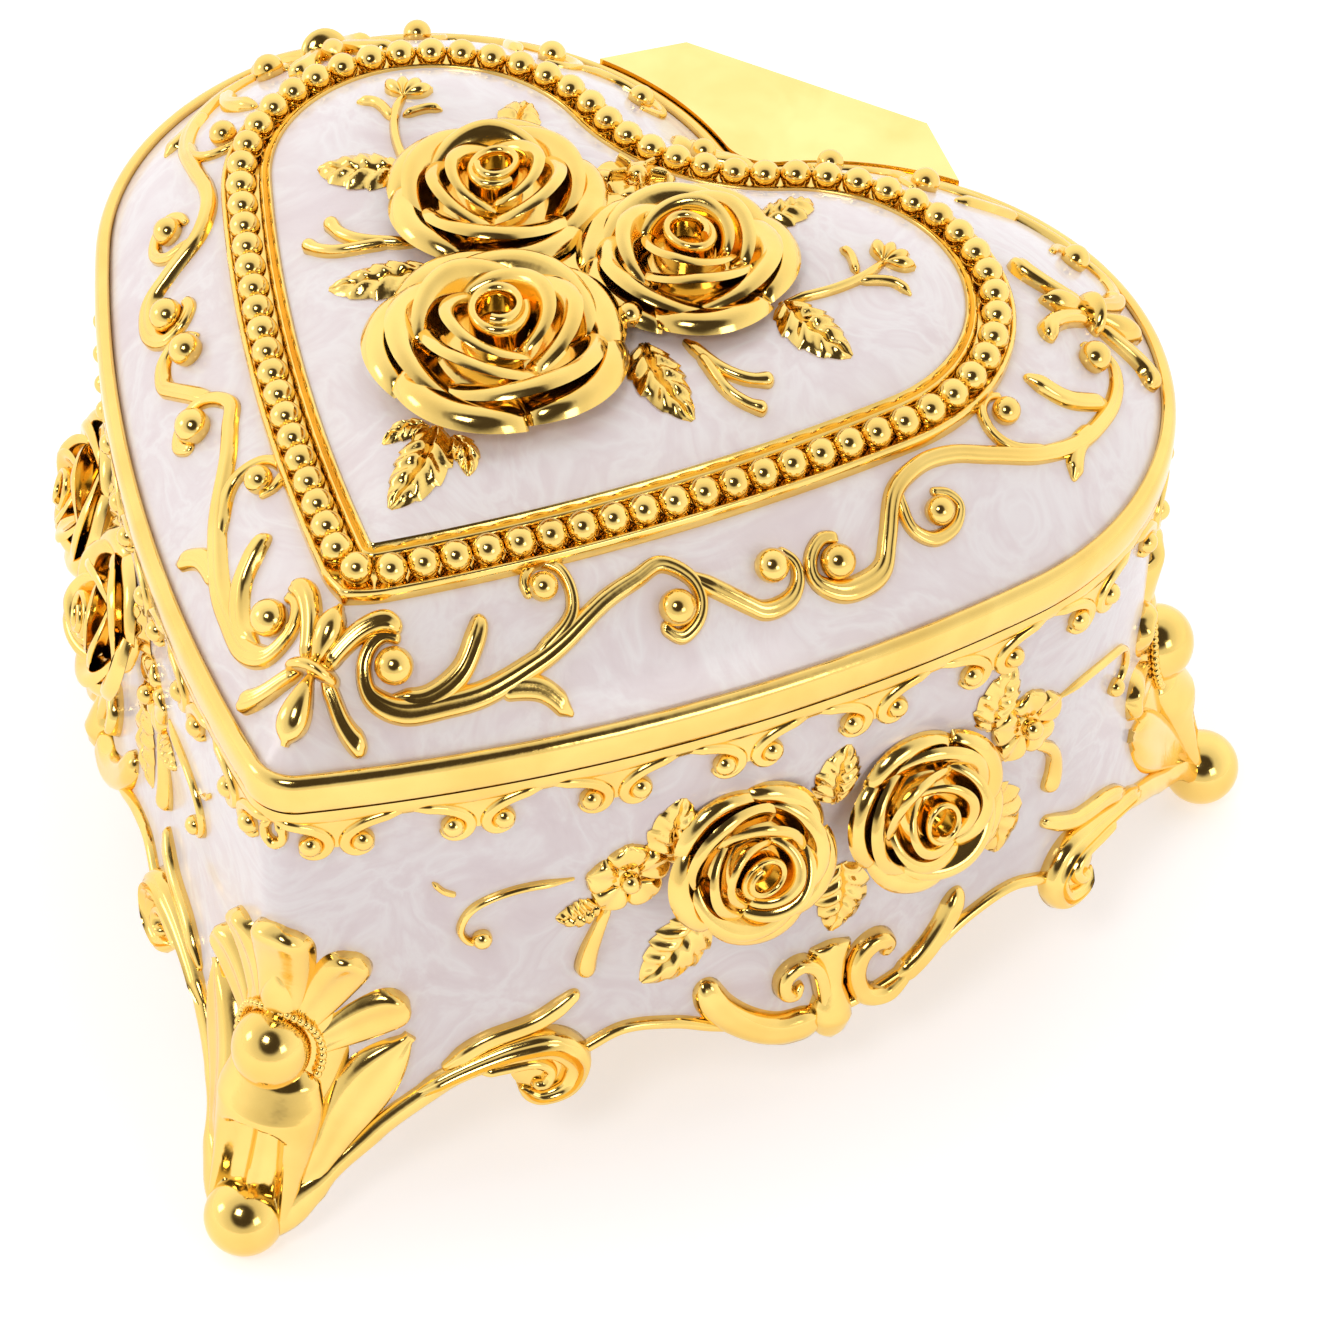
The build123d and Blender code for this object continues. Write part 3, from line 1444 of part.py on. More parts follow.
with BuildPart() as floor_lining:
    with BuildSketch(level(floor_z + floor_thickness)):
        add(rim.face(wall_inner - base_edge_gap))
        with Locations((worm_x, stop_rod_y)):
            Circle(stop_rod_radius + lift_gap, mode=Mode.SUBTRACT)
    extrude(amount=lining_thickness)
floor_lining.part.label = "floor_lining"

pieces = [body_shell, apron_pendants, leg_screws, base_plate, base_screws, false_floor, floor_lining]
pieces += [lid_shell, lid_band, bead_border, lid_roses, lid_lining, hinge_plate, hinge_housing, hinge_pin]
pieces += [bedplate, movement_screws, comb, comb_screws, spring_housing, mainspring, winding_arbor]
pieces += [drive_wheel, winding_key, drum, drum_arbor, drum_pinion, drum_gear, left_bearing, right_bearing]
pieces += [governor_post, governor_arbor, governor_pinion, worm_wheel, worm, fan, worm_frame]
pieces += [stop_guide, stop_rod]
pieces += [lid_scrolls, lid_leaves, rim_strip, apron_scrolls]
for piece in pieces + legs + wall_roses + wall_leaves:
    export_step(piece.part, f"parts/{piece.part.label}.step")
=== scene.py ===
"""Heart-shaped wind-up music box: pearl enamel with gold castings laid on the frame's hearts.

Sizes are millimetres until a mesh is made, where MM turns them into metres. X is right, Y is back and Z
is up, and the heart's tip points to -Y. Ornaments are drawn flat, on the lid in plan (x, distance from
the tip) and on the wall as (distance from the tip along the wall, height), and a ground lifts them.
"""

import json
from math import atan2, cos, pi, radians, sin, sqrt

import bpy
import numpy as np
from mathutils import Matrix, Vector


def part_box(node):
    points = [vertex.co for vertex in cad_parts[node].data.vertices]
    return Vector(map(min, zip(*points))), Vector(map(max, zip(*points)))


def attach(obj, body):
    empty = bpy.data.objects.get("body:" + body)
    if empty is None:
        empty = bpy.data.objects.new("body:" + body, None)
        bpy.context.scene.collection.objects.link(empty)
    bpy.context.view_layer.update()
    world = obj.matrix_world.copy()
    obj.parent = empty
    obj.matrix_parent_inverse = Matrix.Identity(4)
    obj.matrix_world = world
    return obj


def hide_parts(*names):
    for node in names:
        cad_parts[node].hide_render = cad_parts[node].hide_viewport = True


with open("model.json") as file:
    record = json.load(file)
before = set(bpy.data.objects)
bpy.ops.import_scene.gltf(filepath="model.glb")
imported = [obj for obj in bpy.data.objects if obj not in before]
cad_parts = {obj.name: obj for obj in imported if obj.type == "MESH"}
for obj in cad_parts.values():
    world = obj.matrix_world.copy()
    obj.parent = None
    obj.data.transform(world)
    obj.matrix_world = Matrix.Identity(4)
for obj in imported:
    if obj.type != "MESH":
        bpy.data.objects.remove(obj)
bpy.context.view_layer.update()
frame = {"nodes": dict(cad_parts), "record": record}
MM = 0.001


def span(node):
    """Lowest and highest corner of a CAD node, in millimetres."""
    low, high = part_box(node)
    return np.array(low) / MM, np.array(high) / MM


# Heights that the frame gives
band_low, band_high = span("lid_band")
tip_y = band_low[1]
lid_z = band_low[2]
band_top_z = band_high[2]
border_z = span("bead_border")[0][2]
crown_z = span("lid_shell")[1][2]
body_top_z = span("body_shell")[1][2]

# Plan of the rim and of the bead border; a lobe is its x, its distance from the tip and its radius
RIM_TIP_RADIUS = 5.0
RIM_SIDE_RADIUS = 170.0
RIM_LOBE = (22.0, 71.0, 33.0)
RIM_CLEFT_RADIUS = 5.0714
BORDER_FROM_TIP = 17.0
BORDER_TIP_RADIUS = 3.0
BORDER_SIDE_RADIUS = 200.0
BORDER_LOBE = (19.5, 67.3, 18.3)
BORDER_CLEFT_RADIUS = 19.6083
MIDDLE_FROM_TIP = 58.0
PANEL_MIDDLE_FROM_TIP = 54.0

# Steps of the lid, measured across its section
BAND_THICKNESS = 1.5
SLOPE_DROP = 0.7
SLOPE_FULLNESS = 1.4
BORDER_OUTER = 2.05
BORDER_INNER = 2.4
PANEL_EDGE_RISE = 2.6
PANEL_SHOULDER = 12.0
PANEL_FULLNESS = 2.4
PANEL_EASE = 2.5
slope_z = band_top_z - SLOPE_DROP
slope_rise = border_z - slope_z
panel_z = border_z + PANEL_EDGE_RISE

# The wall, its flare and its legs
WALL_INSET = 1.0
WALL = 2.2
FLARE = 2.5
FLARE_TOP_Z = 28.0
FLARE_HEIGHT = 15.0
FLARE_POWER = 1.4
LEG_ANGLE = 27.5
LEG_REACH = 8.5
LEG_TOP_Z = 31.0
LEG_POWER = 1.7
LEG_WIDTH = 6.0
BALL_RADIUS = 3.9
BALL_Z = 3.6

# Places on the tip, side, lobe and cleft of half a heart, for the lid and for the wall
LID_COUNTS = (9, 74, 64, 10)
WALL_COUNTS = (14, 120, 130, 12)


class Heart:
    """Heart outline of arcs that meet smoothly: tip, long side, lobe and cleft, mirrored about Y.

    A place on it is its distance s from the tip along the outline, positive on the right.
    """

    def __init__(self, tip, tip_r, side_r, lobe, cleft_r):
        lobe_x, lobe_from_tip, lobe_r = lobe
        tip_c = np.array([0.0, tip + tip_r])
        lobe_c = np.array([lobe_x, tip_y + lobe_from_tip])
        apart = np.linalg.norm(lobe_c - tip_c)
        axis = (lobe_c - tip_c) / apart
        reach = ((side_r - tip_r) ** 2 - (side_r - lobe_r) ** 2 + apart**2) / (2 * apart)
        aside = sqrt((side_r - tip_r) ** 2 - reach**2)
        side_c = tip_c + axis * reach + np.array([-axis[1], axis[0]]) * aside
        cleft_c = np.array([0.0, lobe_c[1] + sqrt((lobe_r + cleft_r) ** 2 - lobe_x**2)])
        at_tip = atan2(*(tip_c - side_c)[::-1])
        at_lobe = atan2(*(lobe_c - side_c)[::-1])
        at_cleft = atan2(*(cleft_c - lobe_c)[::-1])
        self.arcs = [
            (tip_c, tip_r, -pi / 2, at_tip, 1.0),
            (side_c, side_r, at_tip, at_lobe, 1.0),
            (lobe_c, lobe_r, at_lobe, at_cleft, 1.0),
            (cleft_c, cleft_r, at_cleft + pi, 1.5 * pi, -1.0),
        ]
        lengths = [abs(r * (b - a)) for _, r, a, b, _ in self.arcs]
        self.ends = np.concatenate([[0.0], np.cumsum(lengths)])
        self.half = self.ends[-1]
        self.tip_turn = at_tip + pi / 2

    def stations(self, counts=LID_COUNTS):
        """Places once round the outline, with the same number on each kind of arc of every heart."""
        steps = [np.linspace(a, b, n, endpoint=False) for a, b, n in zip(self.ends, self.ends[1:], counts)]
        right = np.concatenate(steps + [[self.half]])
        return np.concatenate([-right[:0:-1], right])[1:]

    def at(self, s, grow):
        """Plan points at places s, moved outwards by grow."""
        point, out = self.point_and_normal(s)
        return point + np.asarray(grow)[..., None] * out

    def point_and_normal(self, s):
        """Plan points and outward directions at places s: centre plus radius times the arc's direction."""
        s = np.asarray(s, float)
        d = np.clip(np.abs(s), 0.0, self.half - 1e-9)
        k = np.clip(np.searchsorted(self.ends, d, side="right") - 1, 0, 3)
        centre = np.array([a[0] for a in self.arcs])[k]
        r, first, last, sign = (np.array([a[i] for a in self.arcs])[k] for i in (1, 2, 3, 4))
        turn = first + (last - first) * (d - self.ends[k]) / (self.ends[k + 1] - self.ends[k])
        ray = np.stack([np.cos(turn), np.sin(turn)], -1)
        mirror = np.stack([np.where(s < 0, -1.0, 1.0), np.ones_like(s)], -1)
        return (centre + r[..., None] * ray) * mirror, sign[..., None] * ray * mirror

    def inside(self, xy):
        """Distance of plan points from the nearest arc whose sector holds them, positive inside."""
        p = np.stack([np.abs(xy[..., 0]), xy[..., 1]], -1)
        best = np.full(p.shape[:-1], 1e9)
        for centre, r, first, last, sign in self.arcs:
            v = p - centre
            low, high = min(first, last), max(first, last)
            turn = low + np.mod(np.arctan2(v[..., 1], v[..., 0]) - low, 2 * pi)
            d = sign * (r - np.linalg.norm(v, axis=-1))
            best = np.where((turn <= high + 1e-6) & (np.abs(d) < np.abs(best)), d, best)
        return best

    def place_at_angle(self, angle):
        """Place on the right lobe whose outward direction has this angle."""
        _, r, first, _, _ = self.arcs[2]
        return self.ends[2] + r * (angle - first)


rim = Heart(tip_y, RIM_TIP_RADIUS, RIM_SIDE_RADIUS, RIM_LOBE, RIM_CLEFT_RADIUS)
border_tip_y = tip_y + BORDER_FROM_TIP
border = Heart(border_tip_y, BORDER_TIP_RADIUS, BORDER_SIDE_RADIUS, BORDER_LOBE, BORDER_CLEFT_RADIUS)
leg_place = rim.place_at_angle(radians(LEG_ANGLE))
heart_middle = np.array([0.0, tip_y + MIDDLE_FROM_TIP])
panel_middle = np.array([0.0, tip_y + PANEL_MIDDLE_FROM_TIP])


# Curves and castings


def smooth(points, count):
    """Cubic Hermite curve through the points, each slope half the chord of its neighbours, evenly spaced."""
    p = np.asarray(points, float)
    slope = np.gradient(p, axis=0)
    t = np.linspace(0, len(p) - 1, 24 * len(p))
    k = np.minimum(t.astype(int), len(p) - 2)
    f = (t - k)[:, None]
    curve = (2 * f**3 - 3 * f**2 + 1) * p[k] + (f**3 - 2 * f**2 + f) * slope[k]
    curve = curve + (3 * f**2 - 2 * f**3) * p[k + 1] + (f**3 - f**2) * slope[k + 1]
    run = np.concatenate([[0], np.cumsum(np.linalg.norm(np.diff(curve, axis=0), axis=1))])
    even = np.linspace(0, run[-1], count)
    return np.stack([np.interp(even, run, curve[:, i]) for i in range(p.shape[1])], -1)


def along_table(value, table):
    """Straight-line values between a table's (place, value) rows."""
    return np.interp(value, *zip(*table))


def half_round(x):
    """Half a circle of heights over x from -1 to 1."""
    return np.sqrt(np.maximum(1 - x**2, 0))


def flipped(points, way):
    """Flat points as drawn where way is 1, and turned to the left where it is -1."""
    return [(way * x, y) for x, y in points]


def level_axes(back):
    """Right and up of something that looks against back and stands level."""
    right = np.cross([0.0, 0.0, 1.0], back)
    right = right / np.linalg.norm(right)
    return right, np.cross(back, right)


def link(name, data):
    """New object of the scene with this data."""
    thing = bpy.data.objects.new(name, data)
    bpy.context.scene.collection.objects.link(thing)
    return thing


class Casting:
    """One piece made of closed skins. Every skin is a grid: rows along it, each row a closed loop."""

    def __init__(self):
        self.points, self.corners, self.sizes, self.count = [], [], [], 0

    def add(self, grid, ring=False):
        """Joins rows by quads. A ring meets its first row again, other skins end in fans to a middle."""
        rows, around = grid.shape[:2]
        index = np.arange(rows * around).reshape(rows, around)
        after = np.roll(index, -1, axis=1)
        low = np.arange(rows if ring else rows - 1)
        high = (low + 1) % rows
        quads = np.stack([index[low], after[low], after[high], index[high]], -1).reshape(-1, 4)
        points = grid.reshape(-1, 3)
        fans = np.zeros((0, 3), int)
        if not ring:
            pole = np.full(around, rows * around)
            points = np.concatenate([points, [grid[0].mean(0), grid[-1].mean(0)]])
            first = np.stack([after[0], index[0], pole], -1)
            last = np.stack([index[-1], after[-1], pole + 1], -1)
            fans = np.concatenate([first, last])
        # a skin whose volume comes out negative is turned to face outwards
        triangles = np.concatenate([quads[:, :3], quads[:, [0, 2, 3]], fans])
        a, b, c = (points[triangles[:, i]] for i in range(3))
        if np.einsum("ij,ij->", a, np.cross(b, c)) < 0:
            quads, fans = quads[:, ::-1], fans[:, ::-1]
        self.points.append(points)
        self.corners.append(np.concatenate([quads.ravel(), fans.ravel()]) + self.count)
        self.sizes.append(np.concatenate([np.full(len(quads), 4), np.full(len(fans), 3)]))
        self.count += len(points)

    def both(self, grid):
        """Adds a skin and its mirror image about the middle of the box."""
        self.add(grid)
        self.add(grid * np.array([-1.0, 1.0, 1.0]))

    def make(self, name, body, slot, replaces=(), sharp=50.0):
        """Turns the skins into one object that rides on a body and takes a slot's finish."""
        mesh = bpy.data.meshes.new(name)
        points, corners, sizes = (np.concatenate(x) for x in (self.points, self.corners, self.sizes))
        starts = np.concatenate([[0], np.cumsum(sizes)[:-1]])
        mesh.vertices.add(len(points))
        mesh.vertices.foreach_set("co", (points * MM).ravel())
        mesh.loops.add(len(corners))
        mesh.loops.foreach_set("vertex_index", corners.astype(np.int32))
        mesh.polygons.add(len(sizes))
        mesh.polygons.foreach_set("loop_start", starts.astype(np.int32))
        mesh.update(calc_edges=True)
        mesh.polygons.foreach_set("use_smooth", np.ones(len(sizes), bool))
        mesh.set_sharp_from_angle(angle=radians(sharp))
        piece = link(name, mesh)
        mesh.materials.append(finishes[slot])
        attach(piece, body)
        if replaces:
            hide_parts(*replaces)
        return piece


def globe(centre, radius, rows=12, around=18, floor=None):
    """Sphere: rows of latitude about Z between two poles; a floor height cuts it flat."""
    lat = np.linspace(-pi / 2, pi / 2, rows + 2)[1:-1, None]
    lon = np.linspace(0, 2 * pi, around, endpoint=False)[None, :]
    ball = np.stack([np.cos(lat) * np.cos(lon), np.cos(lat) * np.sin(lon), np.sin(lat) + 0 * lon], -1)
    ball = np.asarray(centre) + np.asarray(radius) * ball
    if floor is not None:
        ball[..., 2] = np.maximum(ball[..., 2], floor)
    return ball


# Grounds that carry the ornaments


def lid_height(xy):
    """Height of the lid's skin: a full curve from rim to border, then the crowned panel inside the border."""
    from_rim = np.maximum(rim.inside(xy) - BAND_THICKNESS, 0.0)
    in_border = border.inside(xy)
    to_border = np.maximum(-in_border - BORDER_OUTER, 0.0)
    share = from_rim / np.maximum(from_rim + to_border, 1e-6)
    slope = slope_z + slope_rise * (1 - (1 - share) ** SLOPE_FULLNESS)
    eased = np.stack([np.hypot(xy[..., 0], PANEL_EASE), xy[..., 1]], -1)
    rise = np.clip((np.minimum(border.inside(eased), in_border) - BORDER_INNER) / PANEL_SHOULDER, 0.0, 1.0)
    panel = panel_z + (crown_z - panel_z) * (1 - (1 - rise) ** PANEL_FULLNESS)
    return np.where(in_border > 0, panel, slope)


def on_lid(plan, lift):
    """Point on the lid at (x, distance from the tip), lifted along the skin's normal."""
    xy = plan + np.array([0.0, tip_y])
    step = 0.15
    east, north = np.array([step, 0.0]), np.array([0.0, step])
    dx = (lid_height(xy + east) - lid_height(xy - east)) / (2 * step)
    dy = (lid_height(xy + north) - lid_height(xy - north)) / (2 * step)
    normal = np.stack([-dx, -dy, np.ones_like(dx)], -1)
    normal = normal / np.linalg.norm(normal, axis=-1, keepdims=True)
    return np.concatenate([xy, lid_height(xy)[..., None]], -1) + lift[..., None] * normal


def from_leg(s):
    """Distance along the wall to the nearest leg."""
    return np.minimum(np.abs(s), np.abs(np.abs(s) - leg_place))


def wall_bulge(s, z):
    """How far the wall stands out: it flares below a line, and a bell curve sweeps it out at each leg."""
    flare = FLARE * np.clip((FLARE_TOP_Z - z) / FLARE_HEIGHT, 0.0, 1.2) ** FLARE_POWER
    sweep = LEG_REACH * np.clip((LEG_TOP_Z - z) / (LEG_TOP_Z - BALL_Z), 0.0, 1.1) ** LEG_POWER
    return flare + (np.maximum(sweep, flare) - flare) * np.exp(-((from_leg(s) / LEG_WIDTH) ** 2))


def wall_skin(s, z):
    """Point on the outside of the wall."""
    xy = rim.at(s, wall_bulge(s, z) - WALL_INSET)
    return np.concatenate([xy, np.asarray(z)[..., None]], -1)


def on_wall(plan, lift):
    """Point on the wall at (distance from the tip, height), lifted along the wall's normal."""
    s, z = plan[..., 0], plan[..., 1]
    step = 0.2
    along = wall_skin(s + step, z) - wall_skin(s - step, z)
    up = wall_skin(s, z + step) - wall_skin(s, z - step)
    normal = np.cross(along, up)
    normal = normal / np.linalg.norm(normal, axis=-1, keepdims=True)
    return wall_skin(s, z) + lift[..., None] * normal


def beside(offset):
    """The wall's ground with its zero moved along the wall, for work drawn about a leg."""
    return lambda plan, lift: on_wall(plan + np.array([offset, 0.0]), lift)


# Ornament forms

# Rows of a stem's round end, as shares of its half width
NOSE = np.array([0.0, 0.04, 0.15, 0.33, 0.62])
STEM_SAMPLES = 400


def blade(ground, line, half_width, top, sink=0.5):
    """Relief along a flat line: across it x runs from -1 to 1, its top has heights and its back is sunk.

    half_width has one value a row, and top is rows by columns of heights.
    """
    line = np.asarray(line, float)
    tangent = np.gradient(line, axis=0)
    tangent = tangent / np.maximum(np.linalg.norm(tangent, axis=1, keepdims=True), 1e-9)
    across = np.stack([-tangent[:, 1], tangent[:, 0]], -1)
    x = np.concatenate([np.linspace(-1.0, 1.0, top.shape[1]), [0.6, 0.0, -0.6]])
    lift = np.concatenate([top, np.full((len(line), 3), -sink)], 1)
    plan = line[:, None, :] + (half_width[:, None] * x[None, :])[..., None] * across[:, None, :]
    return ground(plan, lift)


def taper(t, start, end, share=0.18):
    """Widths at shares t of a stem's length: full in the middle, narrowed smoothly at both ends."""
    ease = lambda v: v * v * (3 - 2 * v)
    opening = start + (1 - start) * ease(np.clip(t / share, 0, 1))
    closing = end + (1 - end) * ease(np.clip((1 - t) / share, 0, 1))
    return opening * closing


def stem(ground, points, half_width, height, start=0.35, end=0.45, crease=0.0, fade=0.0, count=None):
    """Stem through the points: half an ellipse across and along its two noses, creased, thinning by fade."""
    count = count or max(16, 6 * len(points))
    fine = smooth(points, STEM_SAMPLES)
    length = np.linalg.norm(np.diff(fine, axis=0), axis=1).sum()
    first, last = half_width * start, half_width * end * (1 - fade)
    run = np.concatenate([first * NOSE, np.linspace(first, length - last, count), length - last * NOSE[::-1]])
    t = run / length
    line = np.stack([np.interp(t, np.linspace(0, 1, STEM_SAMPLES), fine[:, i]) for i in (0, 1)], -1)
    near = np.clip(np.minimum(run / first, (length - run) / last), 0, 1)
    width = taper(t, start, end) * (1 - fade * t) * np.sqrt(np.maximum(1 - (1 - near) ** 2, 0.002))
    x = np.linspace(-1, 1, 11)
    across = half_round(x) - crease * np.exp(-((x / 0.3) ** 2))
    return blade(ground, line, half_width * width, height * width[:, None] * across[None, :])


def ball_drop(ground, place, radius, rise):
    """Ball seated in the ground, its centre lifted by a share of its radius."""
    centre = ground(np.array(place, float), np.array(rise * radius))
    return globe(centre, radius)


def bowed_line(base, tip, bend, rows):
    """Shares t from 0 to 1 and a line from base to tip that bows to one side as half a sine wave."""
    base, tip = np.array(base, float), np.array(tip, float)
    t = np.linspace(0.0, 1.0, rows)
    run = tip - base
    side = np.array([-run[1], run[0]])
    return t, base + t[:, None] * run + (bend * np.sin(pi * t))[:, None] * side


def leaf(ground, base, tip, half_width, height, bend=0.12, teeth=5):
    """Toothed leaf: outline a skewed sine arch with saw teeth, a sunk midrib and slanting veins."""
    t, line = bowed_line(base, tip, bend, 44)
    arch = np.sin(pi * np.clip(t, 0.02, 0.985) ** 0.85) ** 0.64
    saw = np.mod(teeth * t, 1.0)
    width = half_width * arch * (0.87 + 0.16 * saw)
    x = np.linspace(-1, 1, 17)[None, :]
    veins = 0.5 + 0.5 * np.cos(2 * pi * (teeth * t[:, None] - 1.1 * np.abs(x)))
    body = (1 - np.abs(x) ** 2.4) * (0.55 + 0.45 * veins * np.minimum(1.0, 3 * np.abs(x)))
    rib = 0.45 * np.exp(-((x / 0.1) ** 2))
    curl = 0.5 * t[:, None] ** 2 * (1 - t[:, None])
    top = height * (arch[:, None] * np.maximum(body - rib, 0.05) + curl)
    return blade(ground, line, width, top)


def petal_blade(ground, base, tip, half_width, height, bend=0.0, dish=0.0, blunt=0.75, rows=26):
    """Smooth leaf: a sine arch in outline, round across, with an optional dished middle."""
    t, line = bowed_line(base, tip, bend, rows)
    arch = np.sin(pi * np.clip(t, 0.03, 0.97) ** blunt) ** 0.8
    x = np.linspace(-1, 1, 13)[None, :]
    across = half_round(x) - dish * np.exp(-((x / 0.45) ** 2))
    return blade(ground, line, half_width * arch, height * np.sqrt(arch)[:, None] * across)


def rolled_petal(ground, base, tip, half_width, height):
    """Blunt petal: narrow at its foot, dished along its middle, its end rising to a rolled lip."""
    t, line = bowed_line(base, tip, 0.0, 30)
    close = np.sqrt(np.maximum(1 - np.clip((t - 0.70) / 0.30, 0, 1) ** 2.6, 0.01))
    width = half_width * (0.55 + 0.45 * np.sin(0.5 * pi * np.clip(t / 0.7, 0, 1))) * close
    x = np.linspace(-1, 1, 15)[None, :]
    across = (1 - x**4) * (1 - 0.42 * np.exp(-((x / 0.5) ** 2)) * (1 - t[:, None] ** 4))
    rise = (0.55 + 0.65 * t**2) * np.sqrt(np.maximum(1 - np.clip((t - 0.86) / 0.14, 0, 1) ** 2, 0.0))
    return blade(ground, line, width, height * rise[:, None] * across)


FLOWER_PETALS = 5
FLOWER_SEAT = 0.42


def flower(casting, ground, middle, radius, height, turn=0.3):
    """Small open flower: dished petals round a ball, on a low seat that closes the gaps at their feet."""
    middle = np.array(middle)
    half = FLOWER_SEAT * radius
    seat = half * np.array([cos(turn), sin(turn)])
    casting.add(petal_blade(ground, middle - seat, middle + seat, half, 0.5 * height, blunt=1.0))
    for k in range(FLOWER_PETALS):
        a = turn + 2 * pi * k / FLOWER_PETALS
        ray = np.array([cos(a), sin(a)])
        foot, end = middle + 0.15 * radius * ray, middle + radius * ray
        casting.add(petal_blade(ground, foot, end, 0.49 * radius, height, dish=0.45, blunt=1.45))
    casting.add(ball_drop(ground, middle, 0.25 * radius, rise=0.9))


# A rose of radius 1, flattened when it is placed
ROSE_FLATTEN = 0.88
PETAL_RINGS = (
    # petals, half angle, turn, lip, fall of the crest and its power, pull, reach and height from foot to lip
    (5, 40.0, 18.0, 0.070, 0.32, 3.0, 0.17, (0.42, 0.60, 0.76, 0.89, 1.00), (0.06, 0.19, 0.28, 0.30, 0.20)),
    (3, 68.0, 96.0, 0.058, 0.50, 1.7, 0.16, (0.44, 0.56, 0.67, 0.75, 0.83), (0.16, 0.31, 0.42, 0.465, 0.43)),
    (3, 66.0, 38.0, 0.052, 0.42, 1.6, 0.12, (0.33, 0.43, 0.51, 0.57, 0.63), (0.25, 0.42, 0.53, 0.58, 0.56)),
    (2, 94.0, 128.0, 0.048, 0.36, 1.5, 0.10, (0.24, 0.30, 0.35, 0.395, 0.44), (0.31, 0.50, 0.61, 0.66, 0.64)),
)
# Thickness of a petal from foot to lip, as shares of its lip, and how far one edge tucks in
PETAL_SHEET = np.concatenate([np.linspace(0.45, 0.6, 8), [0.75, 0.95, 1.05, 1.0, 0.8, 0.35]])
PETAL_TUCK = 0.03
# Floor below the petals: its reach, its height in the middle and its fall
ROSE_FLOOR = (0.64, 0.40, 0.32)
# Section of the rolled heart as (reach, height), the start and growth of its spiral, and its stretch
CORE_SECTION = np.array(
    [(-0.022, 0.12), (-0.026, 0.56), (-0.034, 0.62), (-0.012, 0.665)]
    + [(0.016, 0.665), (0.036, 0.62), (0.026, 0.56), (0.022, 0.12)]
)
CORE_SPIRAL = (0.145, 0.07)
CORE_STRETCH = 1.2


def polar(reach, turn, height):
    """Points at a reach and a turn about an upright axis."""
    return np.stack(np.broadcast_arrays(reach * np.cos(turn), reach * np.sin(turn), height), -1)


def petal(spine, middle, half_angle, lip, fall, peak, pull):
    """Petal carried round the rose: in (reach, height) a thin sheet that ends in a thick round lip.

    Round the rose u runs from -1 to 1; the crest falls as |u| to a power, the sheet closes at both ends
    and one edge tucks inside the next petal.
    """
    line = smooth(spine, len(PETAL_SHEET))
    run = np.gradient(line, axis=0)
    run = run / np.linalg.norm(run, axis=1, keepdims=True)
    half = 0.5 * lip * PETAL_SHEET
    line, run = np.concatenate([line, line[::-1]]), np.concatenate([run, run[::-1]])
    half = np.concatenate([half, -half[::-1]])
    u = np.linspace(-1, 1, 29)[:, None]
    half = half * np.sqrt(1 - 0.96 * u**12)
    foot = spine[0][0]
    reach = foot + (line[:, 0] - foot) * (1 - pull * u**2) - half * run[:, 1] + PETAL_TUCK * u
    height = line[:, 1] * (1 - fall * np.abs(u) ** peak) + half * run[:, 0]
    return polar(reach, middle + half_angle * u, height)


def rose(casting, origin, axes, radius, turn):
    """Open rose: spread outer petals, three cups and a rolled heart over a domed floor, along three axes."""
    place = lambda grid: np.asarray(origin) + radius * (grid * np.array([1.0, 1.0, ROSE_FLATTEN])) @ axes
    floor_reach, floor_top, floor_fall = ROSE_FLOOR
    share = np.linspace(0.05, 1, 8)[:, None]
    reach = np.concatenate([floor_reach * share, [[floor_reach]]])
    level = np.concatenate([floor_top - floor_fall * share**2, [[-0.06]]])
    casting.add(place(polar(reach, np.linspace(0, 2 * pi, 30, endpoint=False)[None, :], level)))
    for count, half_angle, shift, lip, fall, peak, pull, reaches, heights in PETAL_RINGS:
        for k in range(count):
            middle = turn + radians(shift) + 2 * pi * k / count + 0.09 * cos(2.4 * k + shift)
            lean = 1 + 0.05 * cos(3.1 * k + shift)
            spine = [(r, h * lean) for r, h in zip(reaches, heights)]
            casting.add(place(petal(spine, middle, radians(half_angle), lip, fall, peak, pull)))
    # the heart is a sheet rolled once from a drop-shaped loop outwards
    t = np.linspace(0, 1, 40)[:, None]
    angle = turn + 0.9 + 2.7 * pi * t
    reach = CORE_SPIRAL[0] + CORE_SPIRAL[1] * t + CORE_SECTION[None, :, 0]
    height = CORE_SECTION[None, :, 1] * (1.03 - 0.12 * t)
    along, across = CORE_STRETCH * reach * np.cos(angle), reach * np.sin(angle)
    x, y = along * cos(turn) - across * sin(turn), along * sin(turn) + across * cos(turn)
    casting.add(place(np.stack([x, y, height], -1)))


# Finishes

GOLD = (0.97, 0.69, 0.21)
# lighter copy of GOLD for the hinge plate: a painted highlight for the bright sky it mirrors
LIT_PLATE_GOLD = (1.0, 0.82, 0.33)
LACQUER = (0.78, 0.56, 0.20)
STEEL = (0.62, 0.62, 0.63)
CAST_METAL = (0.68, 0.68, 0.69)
BRASS = (0.80, 0.56, 0.22)
FAN_BLACK = (0.014, 0.014, 0.016)
PEARL_TONES = (
    (0.30, (0.81, 0.695, 0.70)),
    (0.42, (0.85, 0.75, 0.75)),
    (0.50, (0.90, 0.835, 0.825)),
    (0.58, (0.845, 0.745, 0.745)),
    (0.72, (0.905, 0.84, 0.83)),
)
VELVET_TONES = ((0.3, (0.30, 0.015, 0.04)), (0.7, (0.46, 0.035, 0.075)))
BOARD_TONES = ((0.3, (0.20, 0.13, 0.085)), (0.7, (0.33, 0.24, 0.16)))


